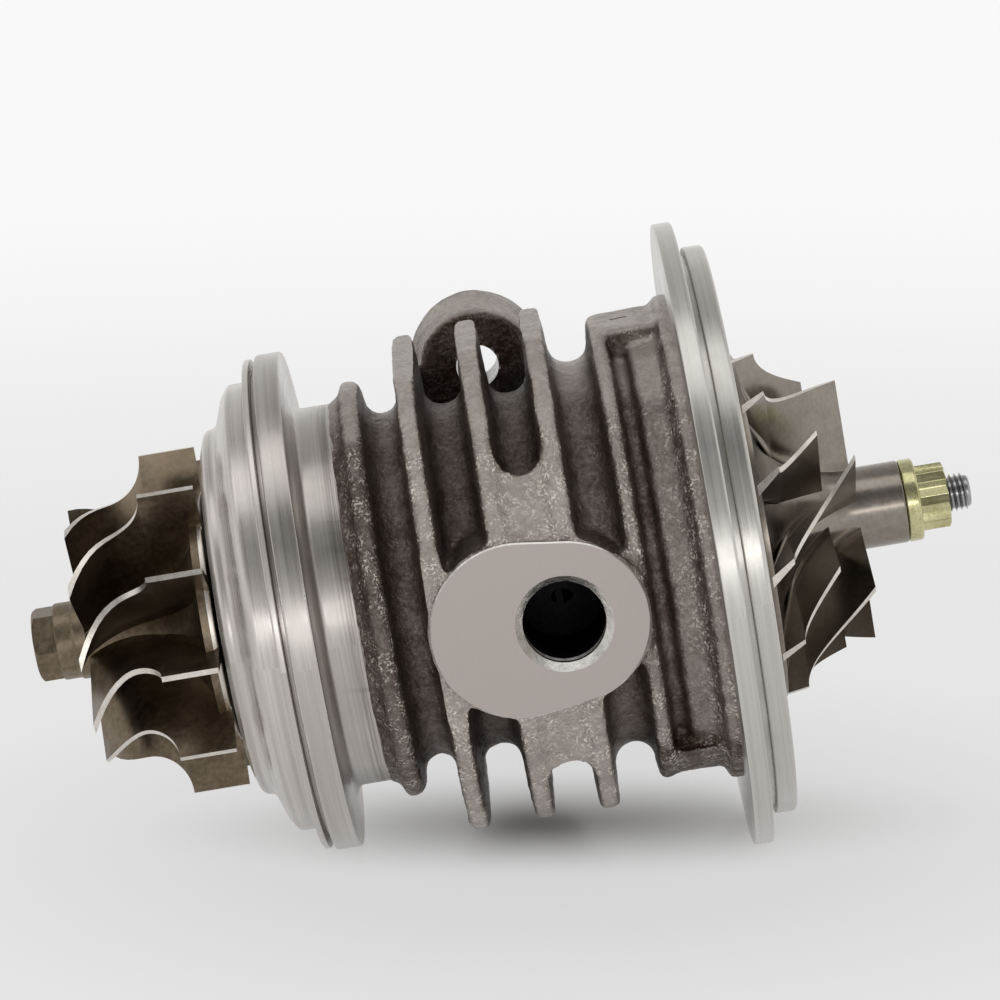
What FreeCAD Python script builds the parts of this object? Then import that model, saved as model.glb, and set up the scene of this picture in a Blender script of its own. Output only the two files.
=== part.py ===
import FreeCAD, Part
import math
import os
import re

import Sketcher

# Turbo cartridge: the centre section of an exhaust turbocharger.
# The shaft lies along X, from the turbine wheel at -X to the compressor wheel at +X.
# X = 0 is the front face of the turbine flange. The oil feed pad faces -Y and the oil drain faces +Y.
# All sizes are in millimetres. "radius" in a name is measured from the shaft's centre line,
# unless the name is that of a small round feature, such as a hole, a screw or a rounding.

SIZES = {
    # Turbine flange and the neck behind it
    "flange_radius": 38.74,
    "flange_thickness": 3.93,
    "flange_back_radius": 32.4,
    "flange_back_bevel": 1.1,
    "seat_step": 0.85,
    "seat_radius": 36.2,
    "nose_length": 6.0,
    "nose_radius": 14.0,
    "neck_radius": 29.5,
    "neck_start": 7.2,
    # Ribs and fins of the casting
    "rib_start": 11.6,
    "rib_end": 15.6,
    "rib_radius": 32.2,
    "fin_thickness": 3.6,
    "fin_radius": 38.6,
    "first_fin_start": 20.8,
    "fin_count": 3,
    "core_radius": 26.4,
    "shoulder_core_radius": 29.7,
    "groove_rounding": 2.2,
    "first_fin_top_cut": 3.2,
    "fin_top_cut": 1.2,
    "web_half_angle": 35.6,
    "web_radius": 38.3,
    # Drum beside the compressor backplate
    "drum_length": 12.62,
    "drum_wall_thickness": 3.0,
    "drum_wall_radius": 35.9,
    "drum_channel_radius": 31.6,
    "drum_channel_width": 2.3,
    "drum_radius": 34.0,
    "drum_ring_bevel": 1.0,
    "drum_ring_thickness": 1.62,
    "drum_ring_radius": 37.7,
    "drum_land_height": 35.65,
    "drum_land_radius": 35.55,
    "drum_land_overlap": 0.8,
    "drum_land_half_width": 7.0,
    "drum_land_half_angle": 46.0,
    "housing_length": 63.52,
    # Oil feed pad and port
    "pad_face_cut": 1.6,
    "pad_proud": 0.7,
    "pad_left": 33.8,
    "pad_left_radius": 13.4,
    "pad_right": 40.7,
    "pad_right_radius": 12.45,
    "feed_port_centre": 40.4,
    "feed_bore_radius": 6.19,
    "feed_bore_depth": 15.5,
    "feed_chamfer": 1.05,
    "feed_gallery_radius": 1.6,
    # Oil drain flange and port
    "drain_face_cut": 1.6,
    "drain_centre": 33.2,
    "drain_plate_thickness": 9.0,
    "drain_ear_radius": 10.5,
    "drain_ear_draft": 8.5,
    "drain_bolt_spacing": 52.4,
    "drain_bolt_radius": 3.4,
    "drain_plate_half_width": 10.5,
    "drain_neck_radius": 13.0,
    "drain_bore_radius": 8.5,
    "drain_duct_height": 12.0,
    "drain_duct_floor": 9.0,
    "drain_duct_roof": 18.0,
    "drain_duct_start": 5.0,
    # Bearing bore and the cavities at its ends
    "seal_bore_radius": 8.05,
    "seal_bore_end": 3.0,
    "turbine_cavity_radius": 12.5,
    "turbine_cavity_end": 12.0,
    "bearing_bore_radius": 6.25,
    "bore_relief_radius": 8.0,
    "bore_relief_setback": 3.3,
    "thrust_cavity_radius": 12.0,
    "thrust_cavity_length": 2.55,
    "thrust_seat_depth": 9.47,
    "thrust_pocket_radius": 18.8,
    "register_radius": 30.0,
    "register_depth": 3.0,
    # Floating journal bearings and their snap rings
    "bearing_clearance": 0.05,
    "journal_clearance": 0.03,
    "bearing_length": 7.5,
    "turbine_bearing_inset": 2.2,
    "compressor_bearing_inset": 0.3,
    "bearing_oil_hole_radius": 0.9,
    "bearing_oil_hole_count": 4,
    "snap_ring_thickness": 0.9,
    "snap_ring_inner_radius": 5.3,
    "snap_groove_depth": 0.7,
    "snap_groove_slack": 0.1,
    "snap_ring_gap": 0.2,
    "snap_ring_opening": 2.4,
    # Shaft
    "journal_radius": 4.0,
    "shaft_waist_radius": 3.6,
    "shaft_shoulder_gap": 0.3,
    "stub_radius": 3.1,
    "stub_fit": 0.02,
    "thread_radius": 2.93,
    "thread_inset": 1.2,
    "thread_relief": 0.2,
    "thread_tip_break": 0.5,
    "shaft_end_length": 10.4,
    "seal_boss_radius": 7.95,
    "seal_boss_end": 2.4,
    "seal_cone_end": 7.5,
    "weld_plane": 7.0,
    # Piston rings
    "ring_width": 1.5,
    "ring_slack": 0.05,
    "ring_thickness": 1.3,
    "ring_groove_gap": 0.15,
    "turbine_ring_start": 4.6,
    "compressor_ring_inset": 2.68,
    "ring_opening": 0.8,
    "ring_fit": 0.01,
    # Thrust bearing stack
    "thrust_plate_thickness": 4.1,
    "thrust_plate_gap": 0.2,
    "thrust_play": 0.15,
    "collar_radius": 9.0,
    "collar_waist_radius": 5.6,
    "collar_end_thickness": 1.7,
    "thrust_slot_gap": 0.3,
    "thrust_pin_radius": 2.0,
    "thrust_pin_length": 6.6,
    "thrust_pin_spacing": 31.0,
    "thrust_pin_slack": 0.05,
    "thrust_pin_recess": 0.6,
    "baffle_sheet": 1.0,
    "baffle_hole_gap": 0.6,
    # Seal sleeve and flinger on the compressor side
    "sleeve_neck_radius": 7.0,
    "sleeve_neck_length": 1.2,
    "flinger_thickness": 1.4,
    "flinger_radius": 12.0,
    "flinger_recess_gap": 1.5,
    "flinger_recess_depth": 2.8,
    "sleeve_radius": 7.4,
    "backplate_bore_radius": 7.5,
    # Compressor backplate
    "backplate_rim_width": 3.7,
    "backplate_thickness": 2.95,
    "backplate_groove_width": 1.02,
    "backplate_groove_depth": 1.26,
    "backplate_groove_relief": 0.15,
    "backplate_groove_land": 0.54,
    "spigot_radius": 44.26,
    "spigot_length": 3.26,
    "spigot_chamfer": 0.6,
    "register_fit": 0.05,
    "seal_groove_width": 2.0,
    "seal_groove_offset": 0.6,
    "seal_groove_depth": 1.8,
    "seal_ring_slack": 0.05,
    "screw_count": 4,
    "screw_circle_radius": 22.5,
    "screw_shank_radius": 1.95,
    "screw_hole_radius": 2.2,
    "screw_head_radius": 3.5,
    "screw_head_height": 3.6,
    "screw_head_recess": 0.4,
    "screw_counterbore_gap": 0.3,
    "screw_engagement": 7.0,
    "screw_end_gap": 0.6,
    "screw_socket_flats": 3.0,
    "screw_socket_depth": 2.0,
    # Heat shroud
    "shroud_wall": 0.95,
    "shroud_flange_radius": 38.3,
    "shroud_neck_radius": 34.9,
    "shroud_shoulder": 5.0,
    "shroud_shoulder_radius": 33.4,
    "shroud_step_radius": 28.6,
    "shroud_step": 7.6,
    "shroud_front": 10.6,
    "shroud_front_radius": 25.6,
    "shroud_hole_radius": 9.6,
    # Turbine wheel
    "turbine_back_gap": 1.0,
    "turbine_tip_radius": 26.6,
    "turbine_tip_width": 8.6,
    "turbine_exit_radius": 19.9,
    "turbine_throat_length": 14.9,
    "turbine_blade_length": 21.0,
    "turbine_blade_count": 11,
    "turbine_disc_radius": 19.6,
    "turbine_disc_rim": 2.0,
    "turbine_back_flare": 1.6,
    "turbine_hub_radius": 6.3,
    "turbine_collar_length": 25.9,
    "turbine_nose_length": 29.3,
    "turbine_nose_flats": 10.2,
    "turbine_blade_place": 19.0,
    "turbine_blade_turn": 27.0,
    "turbine_turn_growth": 2.5,
    "turbine_turn_delay": 1.8,
    "turbine_blade_tip": 0.85,
    "turbine_blade_root": 2.0,
    # Compressor wheel
    "compressor_back_gap": 0.75,
    "compressor_boss_length": 0.4,
    "compressor_tip_radius": 26.8,
    "compressor_disc_rim": 0.9,
    "compressor_tip_width": 3.2,
    "compressor_inlet_radius": 20.3,
    "compressor_blade_length": 16.0,
    "compressor_hub_radius": 6.4,
    "compressor_hub_length": 17.1,
    "compressor_nose_length": 23.5,
    "compressor_blade_pair_count": 6,
    "compressor_blade_place": 4.2,
    "compressor_full_turn": 41.5,
    "compressor_turn_growth": 1.25,
    "compressor_splitter_length": 11.7,
    "compressor_blade_tip": 0.6,
    "compressor_blade_root": 1.5,
    # Shaft nut
    "nut_flange_radius": 6.4,
    "nut_flange_thickness": 2.3,
    "nut_height": 6.8,
    "nut_flats": 8.9,
    "nut_bore_fit": 0.03,
}

doc = FreeCAD.newDocument("TurboCartridge")
sheet = doc.addObject("Spreadsheet::Sheet", "Sizes")
for row, (word, value) in enumerate(SIZES.items(), start=1):
    sheet.set(f"A{row}", word)
    sheet.set(f"B{row}", str(value))
    sheet.setAlias(f"B{row}", word)
doc.recompute()

Vector = FreeCAD.Vector
ORIGIN = Vector(0, 0, 0)
ALONG_SHAFT = Vector(1, 0, 0)


# Sizes

def bound(words):
    """Turns 'flange_radius - seat_step' into an expression on the sheet's cells."""
    return re.sub(r"[a-z_]{3,}", lambda found: bind_word(found.group()), words)


def bind_word(word):
    """One word of an expression: a size gets the sheet's name, a function stays."""
    return "Sizes." + word if word in SIZES else word


def size(words):
    """The present value of a size, or of a sum of sizes, as a number."""
    return float(sheet.evalExpression(bound(words)))


# Places that several pieces share, as expressions
PAD_FACE = "(fin_radius - pad_face_cut)"
DRAIN_FACE = "(fin_radius - drain_face_cut)"
DRUM_WALL_START = "housing_length - drum_length"
FIN_PITCH = f"({DRUM_WALL_START} - first_fin_start) / fin_count"
GROOVE_ROUNDING = f"min(groove_rounding; 0.45 * ({FIN_PITCH} - fin_thickness))"
DRUM_WALL_END = DRUM_WALL_START + " + drum_wall_thickness"
DRUM_CHANNEL_END = DRUM_WALL_END + " + drum_channel_width"
DRUM_RING_START = "housing_length - drum_ring_thickness"
REGISTER_FACE = "housing_length - register_depth"
THRUST_SEAT = "housing_length - thrust_seat_depth"
THRUST_PLATE_END = THRUST_SEAT + " + thrust_plate_thickness"
COLLAR_WAIST_END = THRUST_PLATE_END + " + thrust_play"
COLLAR_END = COLLAR_WAIST_END + " + collar_end_thickness"
FLINGER_START = COLLAR_END + " + sleeve_neck_length"
BEARING_BORE_END = THRUST_SEAT + " - thrust_cavity_length"
SHAFT_SHOULDER = BEARING_BORE_END + " + shaft_shoulder_gap"
TURBINE_BEARING = "turbine_cavity_end + turbine_bearing_inset"
COMPRESSOR_BEARING = BEARING_BORE_END + " - compressor_bearing_inset - bearing_length"
BORE_RELIEF_START = TURBINE_BEARING + " + bearing_length + bore_relief_setback"
BORE_RELIEF_END = COMPRESSOR_BEARING + " - bore_relief_setback"
FLINGER_RECESS_END = REGISTER_FACE + " + flinger_recess_depth"
COMPRESSOR_RING = FLINGER_RECESS_END + " + compressor_ring_inset"
FLANGE_FRONT = "housing_length + backplate_thickness"
SPIGOT_BACK = FLANGE_FRONT + " + backplate_groove_width"
SPIGOT_FRONT = SPIGOT_BACK + " + spigot_length"
WHEEL_BACK = SPIGOT_FRONT + " + compressor_back_gap"
WHEEL_NOSE = WHEEL_BACK + " + compressor_nose_length"
TURBINE_BACK = "0 - shroud_front - turbine_back_gap"
SLEEVE_END = WHEEL_BACK + " - compressor_boss_length"
BEARING_OUTER = "bearing_bore_radius - bearing_clearance"
BEARING_INNER = "journal_radius + journal_clearance"
SNAP_GROOVE_RADIUS = "bearing_bore_radius + snap_groove_depth"
SNAP_GROOVE_WIDTH = "snap_ring_thickness + snap_groove_slack"
RING_GROOVE_WIDTH = "ring_width + 2 * ring_slack"
SCREW_SEAT = SPIGOT_FRONT + " - screw_head_height - screw_head_recess"

# How far a cut runs past the face that it opens, and how far a boss is sunk into the casting
OVERCUT = "1"
SINK = "3"
# How near two places are when they count as one
SAME_PLACE = 1e-4
# Straight pieces in a curved hub or shroud line, and sections along a blade
CURVE_STEP_COUNT = 5
BLADE_SECTION_COUNT = 6


# Sketches and features

def new_body(label):
    body = doc.addObject("PartDesign::Body", label)
    body.Label = label
    return body


def new_sketch(body, name, role, offset=None):
    """A sketch on one of the body's own planes, moved along its normal by an expression."""
    sketch = body.newObject("Sketcher::SketchObject", name)
    plane = next(item for item in body.Origin.OriginFeatures if item.Role == role)
    sketch.AttachmentSupport = [(plane, "")]
    sketch.MapMode = "FlatFace"
    if offset:
        sketch.setExpression("AttachmentOffset.Base.z", bound(offset))
    return sketch


def pin_point(sketch, shape, end, across, up):
    """Ties one point of the sketch to the sheet, across and up from the sketch's origin."""
    for kind, words, axis in (("DistanceX", across, -2), ("DistanceY", up, -1)):
        value = size(words)
        if abs(value) < 1e-9:
            sketch.addConstraint(Sketcher.Constraint("PointOnObject", shape, end, axis))
        else:
            index = sketch.addConstraint(Sketcher.Constraint(kind, -1, 1, shape, end, value))
            sketch.setExpression(f"Constraints[{index}]", bound(words))


def add_outline(sketch, points):
    """A closed outline of straight sides, with each corner tied to the sheet."""
    first = sketch.GeometryCount
    corners = [Vector(size(across), size(up), 0) for across, up in points]
    count = len(corners)
    for index in range(count):
        side = Part.LineSegment(corners[index], corners[(index + 1) % count])
        sketch.addGeometry(side, False)
    for index in range(count):
        after = first + (index + 1) % count
        sketch.addConstraint(Sketcher.Constraint("Coincident", first + index, 2, after, 1))
    for index, (across, up) in enumerate(points):
        pin_point(sketch, first + index, 1, across, up)


def add_circle(sketch, across, up, radius):
    centre = Vector(size(across), size(up), 0)
    shape = sketch.addGeometry(Part.Circle(centre, Vector(0, 0, 1), size(radius)), False)
    pin_point(sketch, shape, 3, across, up)
    index = sketch.addConstraint(Sketcher.Constraint("Radius", shape, size(radius)))
    sketch.setExpression(f"Constraints[{index}]", bound(radius))


def add_obround(sketch, start, end, start_radius, end_radius):
    """Two arcs round the points start and end, joined by straight sides that touch both."""
    first_centre = Vector(size(start[0]), size(start[1]), 0)
    last_centre = Vector(size(end[0]), size(end[1]), 0)
    first_reach = size(start_radius)
    last_reach = size(end_radius)
    way = last_centre - first_centre
    along = math.atan2(way.y, way.x)
    open_angle = math.acos((first_reach - last_reach) / way.Length)
    normal = Vector(0, 0, 1)
    near = Part.Circle(first_centre, normal, first_reach)
    far = Part.Circle(last_centre, normal, last_reach)
    full = 2 * math.pi
    around = Part.ArcOfCircle(near, along + open_angle, along - open_angle + full)
    first_arc = sketch.addGeometry(around, False)
    last_arc = sketch.addGeometry(Part.ArcOfCircle(far, along - open_angle, along + open_angle), False)
    sides = []
    for turn in (along + open_angle, along - open_angle):
        out = Vector(math.cos(turn), math.sin(turn), 0)
        side = Part.LineSegment(first_centre + out * first_reach, last_centre + out * last_reach)
        sides.append(sketch.addGeometry(side, False))
    upper, lower = sides
    joints = [(first_arc, 1, upper, 1), (first_arc, 2, lower, 1)]
    joints += [(last_arc, 2, upper, 2), (last_arc, 1, lower, 2)]
    for joint in joints:
        sketch.addConstraint(Sketcher.Constraint("Tangent", *joint))
    for arc, centre, radius in ((first_arc, start, start_radius), (last_arc, end, end_radius)):
        pin_point(sketch, arc, 3, *centre)
        index = sketch.addConstraint(Sketcher.Constraint("Radius", arc, size(radius)))
        sketch.setExpression(f"Constraints[{index}]", bound(radius))


def revolve(body, name, points, kind="PartDesign::Revolution", role="XY_Plane", half_angle=None):
    """Turns an outline, given as (along the shaft, radius) corners, about the shaft."""
    sketch = new_sketch(body, name + "_profile", role)
    add_outline(sketch, points)
    feature = body.newObject(kind, name)
    feature.Profile = sketch
    feature.ReferenceAxis = (sketch, ["H_Axis"])
    feature.Refine = False
    if half_angle:
        feature.Midplane = True
        feature.setExpression("Angle", bound("2 * " + half_angle))
    else:
        feature.Angle = 360
    doc.recompute()
    return feature


def extrude(body, name, kind, draw, role, length=None, offset=None, reverse=False, both=False, taper=None):
    """A pad or a pocket of the sketch that draw() fills in. Without a length it goes right through."""
    sketch = new_sketch(body, name + "_sketch", role, offset)
    draw(sketch)
    feature = body.newObject(kind, name)
    feature.Profile = sketch
    feature.Refine = False
    feature.Reversed = reverse
    feature.Midplane = both
    if length:
        feature.Type = "Length"
        feature.setExpression("Length", bound(length))
    else:
        feature.Type = "ThroughAll"
    if taper:
        feature.setExpression("TaperAngle", bound(taper))
    doc.recompute()
    return feature


def repeat_round(body, name, feature, count):
    """Repeats a feature evenly round the shaft."""
    pattern = body.newObject("PartDesign::PolarPattern", name)
    pattern.Originals = [feature]
    axis = next(item for item in body.Origin.OriginFeatures if item.Role == "X_Axis")
    pattern.Axis = (axis, [""])
    pattern.Angle = 360
    pattern.setExpression("Occurrences", bound(count))
    body.Tip = pattern
    doc.recompute()
    return pattern


def ring_edges(feature, places):
    """Names of the full circles about the shaft at the given (along, radius) places."""
    names = []
    wanted = [(size(along), size(radius)) for along, radius in places]
    for number, edge in enumerate(feature.Shape.Edges, start=1):
        curve = edge.Curve
        if not hasattr(curve, "Radius") or not hasattr(curve, "Center"):
            continue
        for along, radius in wanted:
            if abs(curve.Center.x - along) < SAME_PLACE and abs(curve.Radius - radius) < SAME_PLACE:
                names.append(f"Edge{number}")
    if len(names) < len(wanted):
        raise RuntimeError(f"{feature.Name}: {len(names)} of {len(wanted)} edges found")
    return names


def round_off(body, name, places, radius, kind="PartDesign::Fillet"):
    """Rounds, or with a chamfer bevels, the circular edges at the given places."""
    base = body.Tip
    feature = body.newObject(kind, name)
    feature.Base = (base, ring_edges(base, places))
    feature.Refine = False
    feature.setExpression("Radius" if kind.endswith("Fillet") else "Size", bound(radius))
    doc.recompute()
    return feature


def bevel_off(body, name, places, width):
    return round_off(body, name, places, width, "PartDesign::Chamfer")


# Bearing housing: the finned iron casting

def fin_edges(index):
    """Start and end of a full-height fin, as expressions."""
    start = f"first_fin_start + {index} * {FIN_PITCH}"
    return start, start + " + fin_thickness"


def housing_outline():
    """Corners of the casting's outside, from the nose inside the heat shroud to the backplate face."""
    seat = "0 - seat_step"
    nose = "0 - seat_step - nose_length"
    points = [(nose, "0"), (nose, "nose_radius"), (seat, "nose_radius"), (seat, "seat_radius")]
    points += [("0", "seat_radius"), ("0", "flange_radius"), ("flange_thickness", "flange_radius")]
    points += [("flange_thickness + flange_back_bevel", "flange_back_radius"), ("neck_start", "neck_radius")]
    points += [("rib_start", "neck_radius"), ("rib_start", "rib_radius")]
    points += [("rib_end", "rib_radius"), ("rib_end", "core_radius")]
    for index in range(int(size("fin_count"))):
        start, end = fin_edges(index)
        last = index == int(size("fin_count")) - 1
        points += [(start, "core_radius"), (start, "fin_radius"), (end, "fin_radius")]
        points += [(end, "shoulder_core_radius" if last else "core_radius")]
    points += [(DRUM_WALL_START, "shoulder_core_radius")]
    points += [(DRUM_WALL_START, "drum_wall_radius"), (DRUM_WALL_END, "drum_wall_radius")]
    points += [(DRUM_WALL_END, "drum_channel_radius"), (DRUM_CHANNEL_END, "drum_channel_radius")]
    points += [(DRUM_CHANNEL_END, "drum_radius"), (DRUM_RING_START + " - drum_ring_bevel", "drum_radius")]
    points += [(DRUM_RING_START, "drum_ring_radius"), ("housing_length", "drum_ring_radius")]
    points += [("housing_length", "0")]
    return points


def housing_bore():
    """Corners of everything turned out of the casting: seal bore, cavities, bearing bore, register."""
    nose = "0 - seat_step - nose_length"
    return [
        (nose, "0"), (nose, "seal_bore_radius"), ("seal_bore_end", "seal_bore_radius"),
        ("seal_bore_end", "turbine_cavity_radius"), ("turbine_cavity_end", "turbine_cavity_radius"),
        ("turbine_cavity_end", "bearing_bore_radius"), (BORE_RELIEF_START, "bearing_bore_radius"),
        (BORE_RELIEF_START, "bore_relief_radius"), (BORE_RELIEF_END, "bore_relief_radius"),
        (BORE_RELIEF_END, "bearing_bore_radius"), (BEARING_BORE_END, "bearing_bore_radius"),
        (BEARING_BORE_END, "thrust_cavity_radius"), (THRUST_SEAT, "thrust_cavity_radius"),
        (THRUST_SEAT, "thrust_pocket_radius"), (REGISTER_FACE, "thrust_pocket_radius"),
        (REGISTER_FACE, "register_radius"), ("housing_length", "register_radius"), ("housing_length", "0"),
    ]


def snap_ring_starts():
    """Where each snap ring's groove starts: both ends of the turbine bearing, inner end of the other."""
    before = f" - snap_ring_gap - ({SNAP_GROOVE_WIDTH})"
    after = " + bearing_length + snap_ring_gap"
    return {
        "turbine_bearing_outer_snap_ring": TURBINE_BEARING + before,
        "turbine_bearing_inner_snap_ring": TURBINE_BEARING + after,
        "compressor_bearing_snap_ring": COMPRESSOR_BEARING + before,
    }


def oil_gallery(end_along, end_radius):
    """A drilled oil way from the bottom of the feed port towards a point on the -Y side of the shaft."""
    bottom = Vector(size("feed_port_centre"), size("feed_bore_depth - " + PAD_FACE + " - " + OVERCUT), 0)
    target = Vector(size(end_along), -size(end_radius), 0)
    way = target - bottom
    return Part.makeCylinder(size("feed_gallery_radius"), way.Length, bottom, way)


def bearing_housing():
    body = new_body("bearing_housing_casting")
    revolve(body, "casting", housing_outline())
    fins = [fin_edges(index) for index in range(int(size("fin_count")))]
    roots = [("rib_end", "core_radius"), (DRUM_WALL_START, "shoulder_core_radius")]
    for index, (start, end) in enumerate(fins):
        last = index == len(fins) - 1
        roots += [(start, "core_radius"), (end, "shoulder_core_radius" if last else "core_radius")]
    bevel_off(body, "groove_roots", roots, GROOVE_ROUNDING)

    # Web that joins the second and third full fins under the oil feed pad
    web_start, web_end = [start + " + fin_thickness / 2" for start, end in fins[1:3]]
    web_root = "0 - core_radius + " + OVERCUT
    web = [(web_start, web_root), (web_start, "0 - web_radius")]
    web += [(web_end, "0 - web_radius"), (web_end, web_root)]
    revolve(body, "feed_web", web, half_angle="web_half_angle")

    # Cast lands on the drum, flat on top and round below
    land_start = DRUM_WALL_END + " - drum_land_overlap * 2"
    land_end = DRUM_RING_START + " + drum_land_overlap / 2"
    top = [(land_start, "0 - drum_land_half_width"), (land_start, "drum_land_half_width")]
    top += [(land_end, "drum_land_half_width"), (land_end, "0 - drum_land_half_width")]
    extrude(body, "drum_top_land", "PartDesign::Pad", lambda sketch: add_outline(sketch, top), "XY_Plane",
            length="drum_land_height - register_radius - drum_land_overlap",
            offset="register_radius + drum_land_overlap")
    land_root = "0 - drum_channel_radius + drum_land_overlap"
    round_land = [(land_start, land_root), (land_start, "0 - drum_land_radius")]
    round_land += [(land_end, "0 - drum_land_radius"), (land_end, land_root)]
    revolve(body, "drum_lower_land", round_land, role="XZ_Plane", half_angle="drum_land_half_angle")

    # Tops of the fins, trimmed flat
    def fin_top_flats(sketch):
        for first, last, cut in ((0, 0, "first_fin_top_cut"), (1, 2, "fin_top_cut")):
            left = fins[first][0] + " - " + OVERCUT
            right = fins[last][1] + " + " + OVERCUT
            height = "fin_radius - " + cut
            above = "fin_radius + " + OVERCUT
            add_outline(sketch, [(left, height), (right, height), (right, above), (left, above)])
    extrude(body, "fin_top_trim", "PartDesign::Pocket", fin_top_flats, "XZ_Plane",
            length="2 * fin_radius", both=True)

    # Oil feed pad: the fins are cut back flat, and the machined pad stands a little proud of them
    def pad_window(sketch):
        left = "pad_left - 1.4 * pad_left_radius"
        right = "pad_right + 1.4 * pad_left_radius"
        half = "1.5 * pad_left_radius"
        add_outline(sketch, [(left, "0 - " + half), (right, "0 - " + half), (right, half), (left, half)])

    def pad_shape(sketch):
        add_obround(sketch, ("pad_left", "0"), ("pad_right", "0"), "pad_left_radius", "pad_right_radius")
    extrude(body, "pad_clearing", "PartDesign::Pocket", pad_window, "XZ_Plane",
            length="fin_radius", offset=PAD_FACE + " - pad_proud + fin_radius")
    extrude(body, "feed_pad", "PartDesign::Pad", pad_shape, "XZ_Plane",
            length=PAD_FACE + " - core_radius + " + SINK, offset="core_radius - " + SINK)

    # Oil drain flange: two bolt ears, a plate between them and a neck down to the core
    half_spacing = "drain_bolt_spacing / 2"
    for side, up in (("upper", half_spacing), ("lower", "0 - " + half_spacing)):
        extrude(body, side + "_drain_ear", "PartDesign::Pad",
                lambda sketch, up=up: add_circle(sketch, "drain_centre", up, "drain_ear_radius"), "XZ_Plane",
                length="drain_plate_thickness", offset="0 - " + DRAIN_FACE, taper="0 - drain_ear_draft")

    def drain_plate(sketch):
        left = "drain_centre - drain_plate_half_width"
        right = "drain_centre + drain_plate_half_width"
        lower_end = "0 - " + half_spacing
        lower_side = [(left, lower_end), (right, lower_end)]
        add_outline(sketch, lower_side + [(right, half_spacing), (left, half_spacing)])
    extrude(body, "drain_plate", "PartDesign::Pad", drain_plate, "XZ_Plane",
            length="drain_plate_thickness", offset="0 - " + DRAIN_FACE)
    extrude(body, "drain_neck", "PartDesign::Pad",
            lambda sketch: add_circle(sketch, "drain_centre", "0", "drain_neck_radius"), "XZ_Plane",
            length=DRAIN_FACE + " - core_radius + " + SINK, offset="0 - " + DRAIN_FACE)

    def drain_window(sketch):
        left = fins[0][0] + " - " + OVERCUT
        right = fins[-1][1] + " + " + OVERCUT
        reach = "drain_ear_radius * 2"
        add_outline(sketch, [(left, "0 - " + reach), (right, "0 - " + reach), (right, reach), (left, reach)])
    extrude(body, "drain_facing", "PartDesign::Pocket", drain_window, "XZ_Plane",
            length="fin_radius", offset="0 - " + DRAIN_FACE)

    # Bores along the shaft
    revolve(body, "shaft_bores", housing_bore(), "PartDesign::Groove")
    for label, start in snap_ring_starts().items():
        end = f"{start} + {SNAP_GROOVE_WIDTH}"
        inner = "bearing_bore_radius - snap_groove_depth"
        groove = [(start, inner), (start, SNAP_GROOVE_RADIUS), (end, SNAP_GROOVE_RADIUS), (end, inner)]
        revolve(body, label + "_groove", groove, "PartDesign::Groove")

    # Oil drain: a duct along the shaft and the port across it
    duct_end = THRUST_SEAT + " + " + OVERCUT
    duct = [("drain_duct_start", "drain_duct_floor"), (duct_end, "drain_duct_floor")]
    duct += [(duct_end, "drain_duct_roof"), ("drain_duct_start", "drain_duct_roof")]
    extrude(body, "drain_duct", "PartDesign::Pocket", lambda sketch: add_outline(sketch, duct), "XY_Plane",
            length="drain_duct_height", both=True)
    extrude(body, "drain_port", "PartDesign::Pocket",
            lambda sketch: add_circle(sketch, "drain_centre", "0", "drain_bore_radius"), "XZ_Plane",
            length=DRAIN_FACE + " - bore_relief_radius + " + SINK, offset="0 - " + DRAIN_FACE, reverse=True)
    for side, up in (("upper", half_spacing), ("lower", "0 - " + half_spacing)):
        extrude(body, side + "_drain_bolt_hole", "PartDesign::Pocket",
                lambda sketch, up=up: add_circle(sketch, "drain_centre", up, "drain_bolt_radius"), "XZ_Plane",
                length="drain_plate_thickness", offset="0 - " + DRAIN_FACE, reverse=True)

    # Oil feed port
    extrude(body, "feed_port", "PartDesign::Pocket",
            lambda sketch: add_circle(sketch, "feed_port_centre", "0", "feed_bore_radius"), "XZ_Plane",
            length="feed_bore_depth", offset=PAD_FACE)
    return body


def finished_housing():
    """The casting with its slanted oil galleries drilled and its feed port chamfered."""
    casting = bearing_housing()
    shape = casting.Shape
    galleries = [
        oil_gallery(TURBINE_BEARING + " + bearing_length / 2", "bearing_bore_radius - " + OVERCUT),
        oil_gallery(COMPRESSOR_BEARING + " + bearing_length / 2", "bearing_bore_radius - " + OVERCUT),
        oil_gallery(THRUST_SEAT + " + " + OVERCUT, "(thrust_cavity_radius + thrust_pocket_radius) / 2"),
    ]
    mouth = Vector(size("feed_port_centre"), -size(PAD_FACE), 0)
    chamfer = Part.makeCone(size("feed_bore_radius + feed_chamfer"), size("feed_bore_radius"),
                            size("feed_chamfer"), mouth, Vector(0, 1, 0))
    pins = [placed_pin(side, "thrust_pin_radius") for side in (1, -1)]
    screws = [screw_hole(index) for index in range(int(size("screw_count")))]
    return publish("bearing_housing", shape.cut(galleries + [chamfer] + pins + screws))


# Pieces whose shape is worked out here from the sheet's sizes

def publish(label, shape):
    """Stores a worked-out shape as a sub-part of the document."""
    part = doc.addObject("Part::Feature", label)
    part.Shape = shape
    part.Placement = FreeCAD.Placement()
    part.Label = label
    return part


def bar(radius, start, end, up=0.0, side=0.0):
    """A round bar along the shaft's direction, off its centre line by (side, up)."""
    return Part.makeCylinder(radius, end - start, Vector(start, side, up), ALONG_SHAFT)


def placed_pin(side, radius, slack=0.0):
    """One of the two dowels that stop the thrust bearing from turning."""
    end = size(THRUST_PLATE_END + " - thrust_pin_recess")
    start = end - size("thrust_pin_length")
    return bar(size(radius) + slack, start, end, up=side * size("thrust_pin_spacing") / 2)


def screw_place(index):
    """Side and height of one backplate screw."""
    turn = 2 * math.pi * (index + 0.5) / size("screw_count")
    circle = size("screw_circle_radius")
    return circle * math.cos(turn), circle * math.sin(turn)


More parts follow.
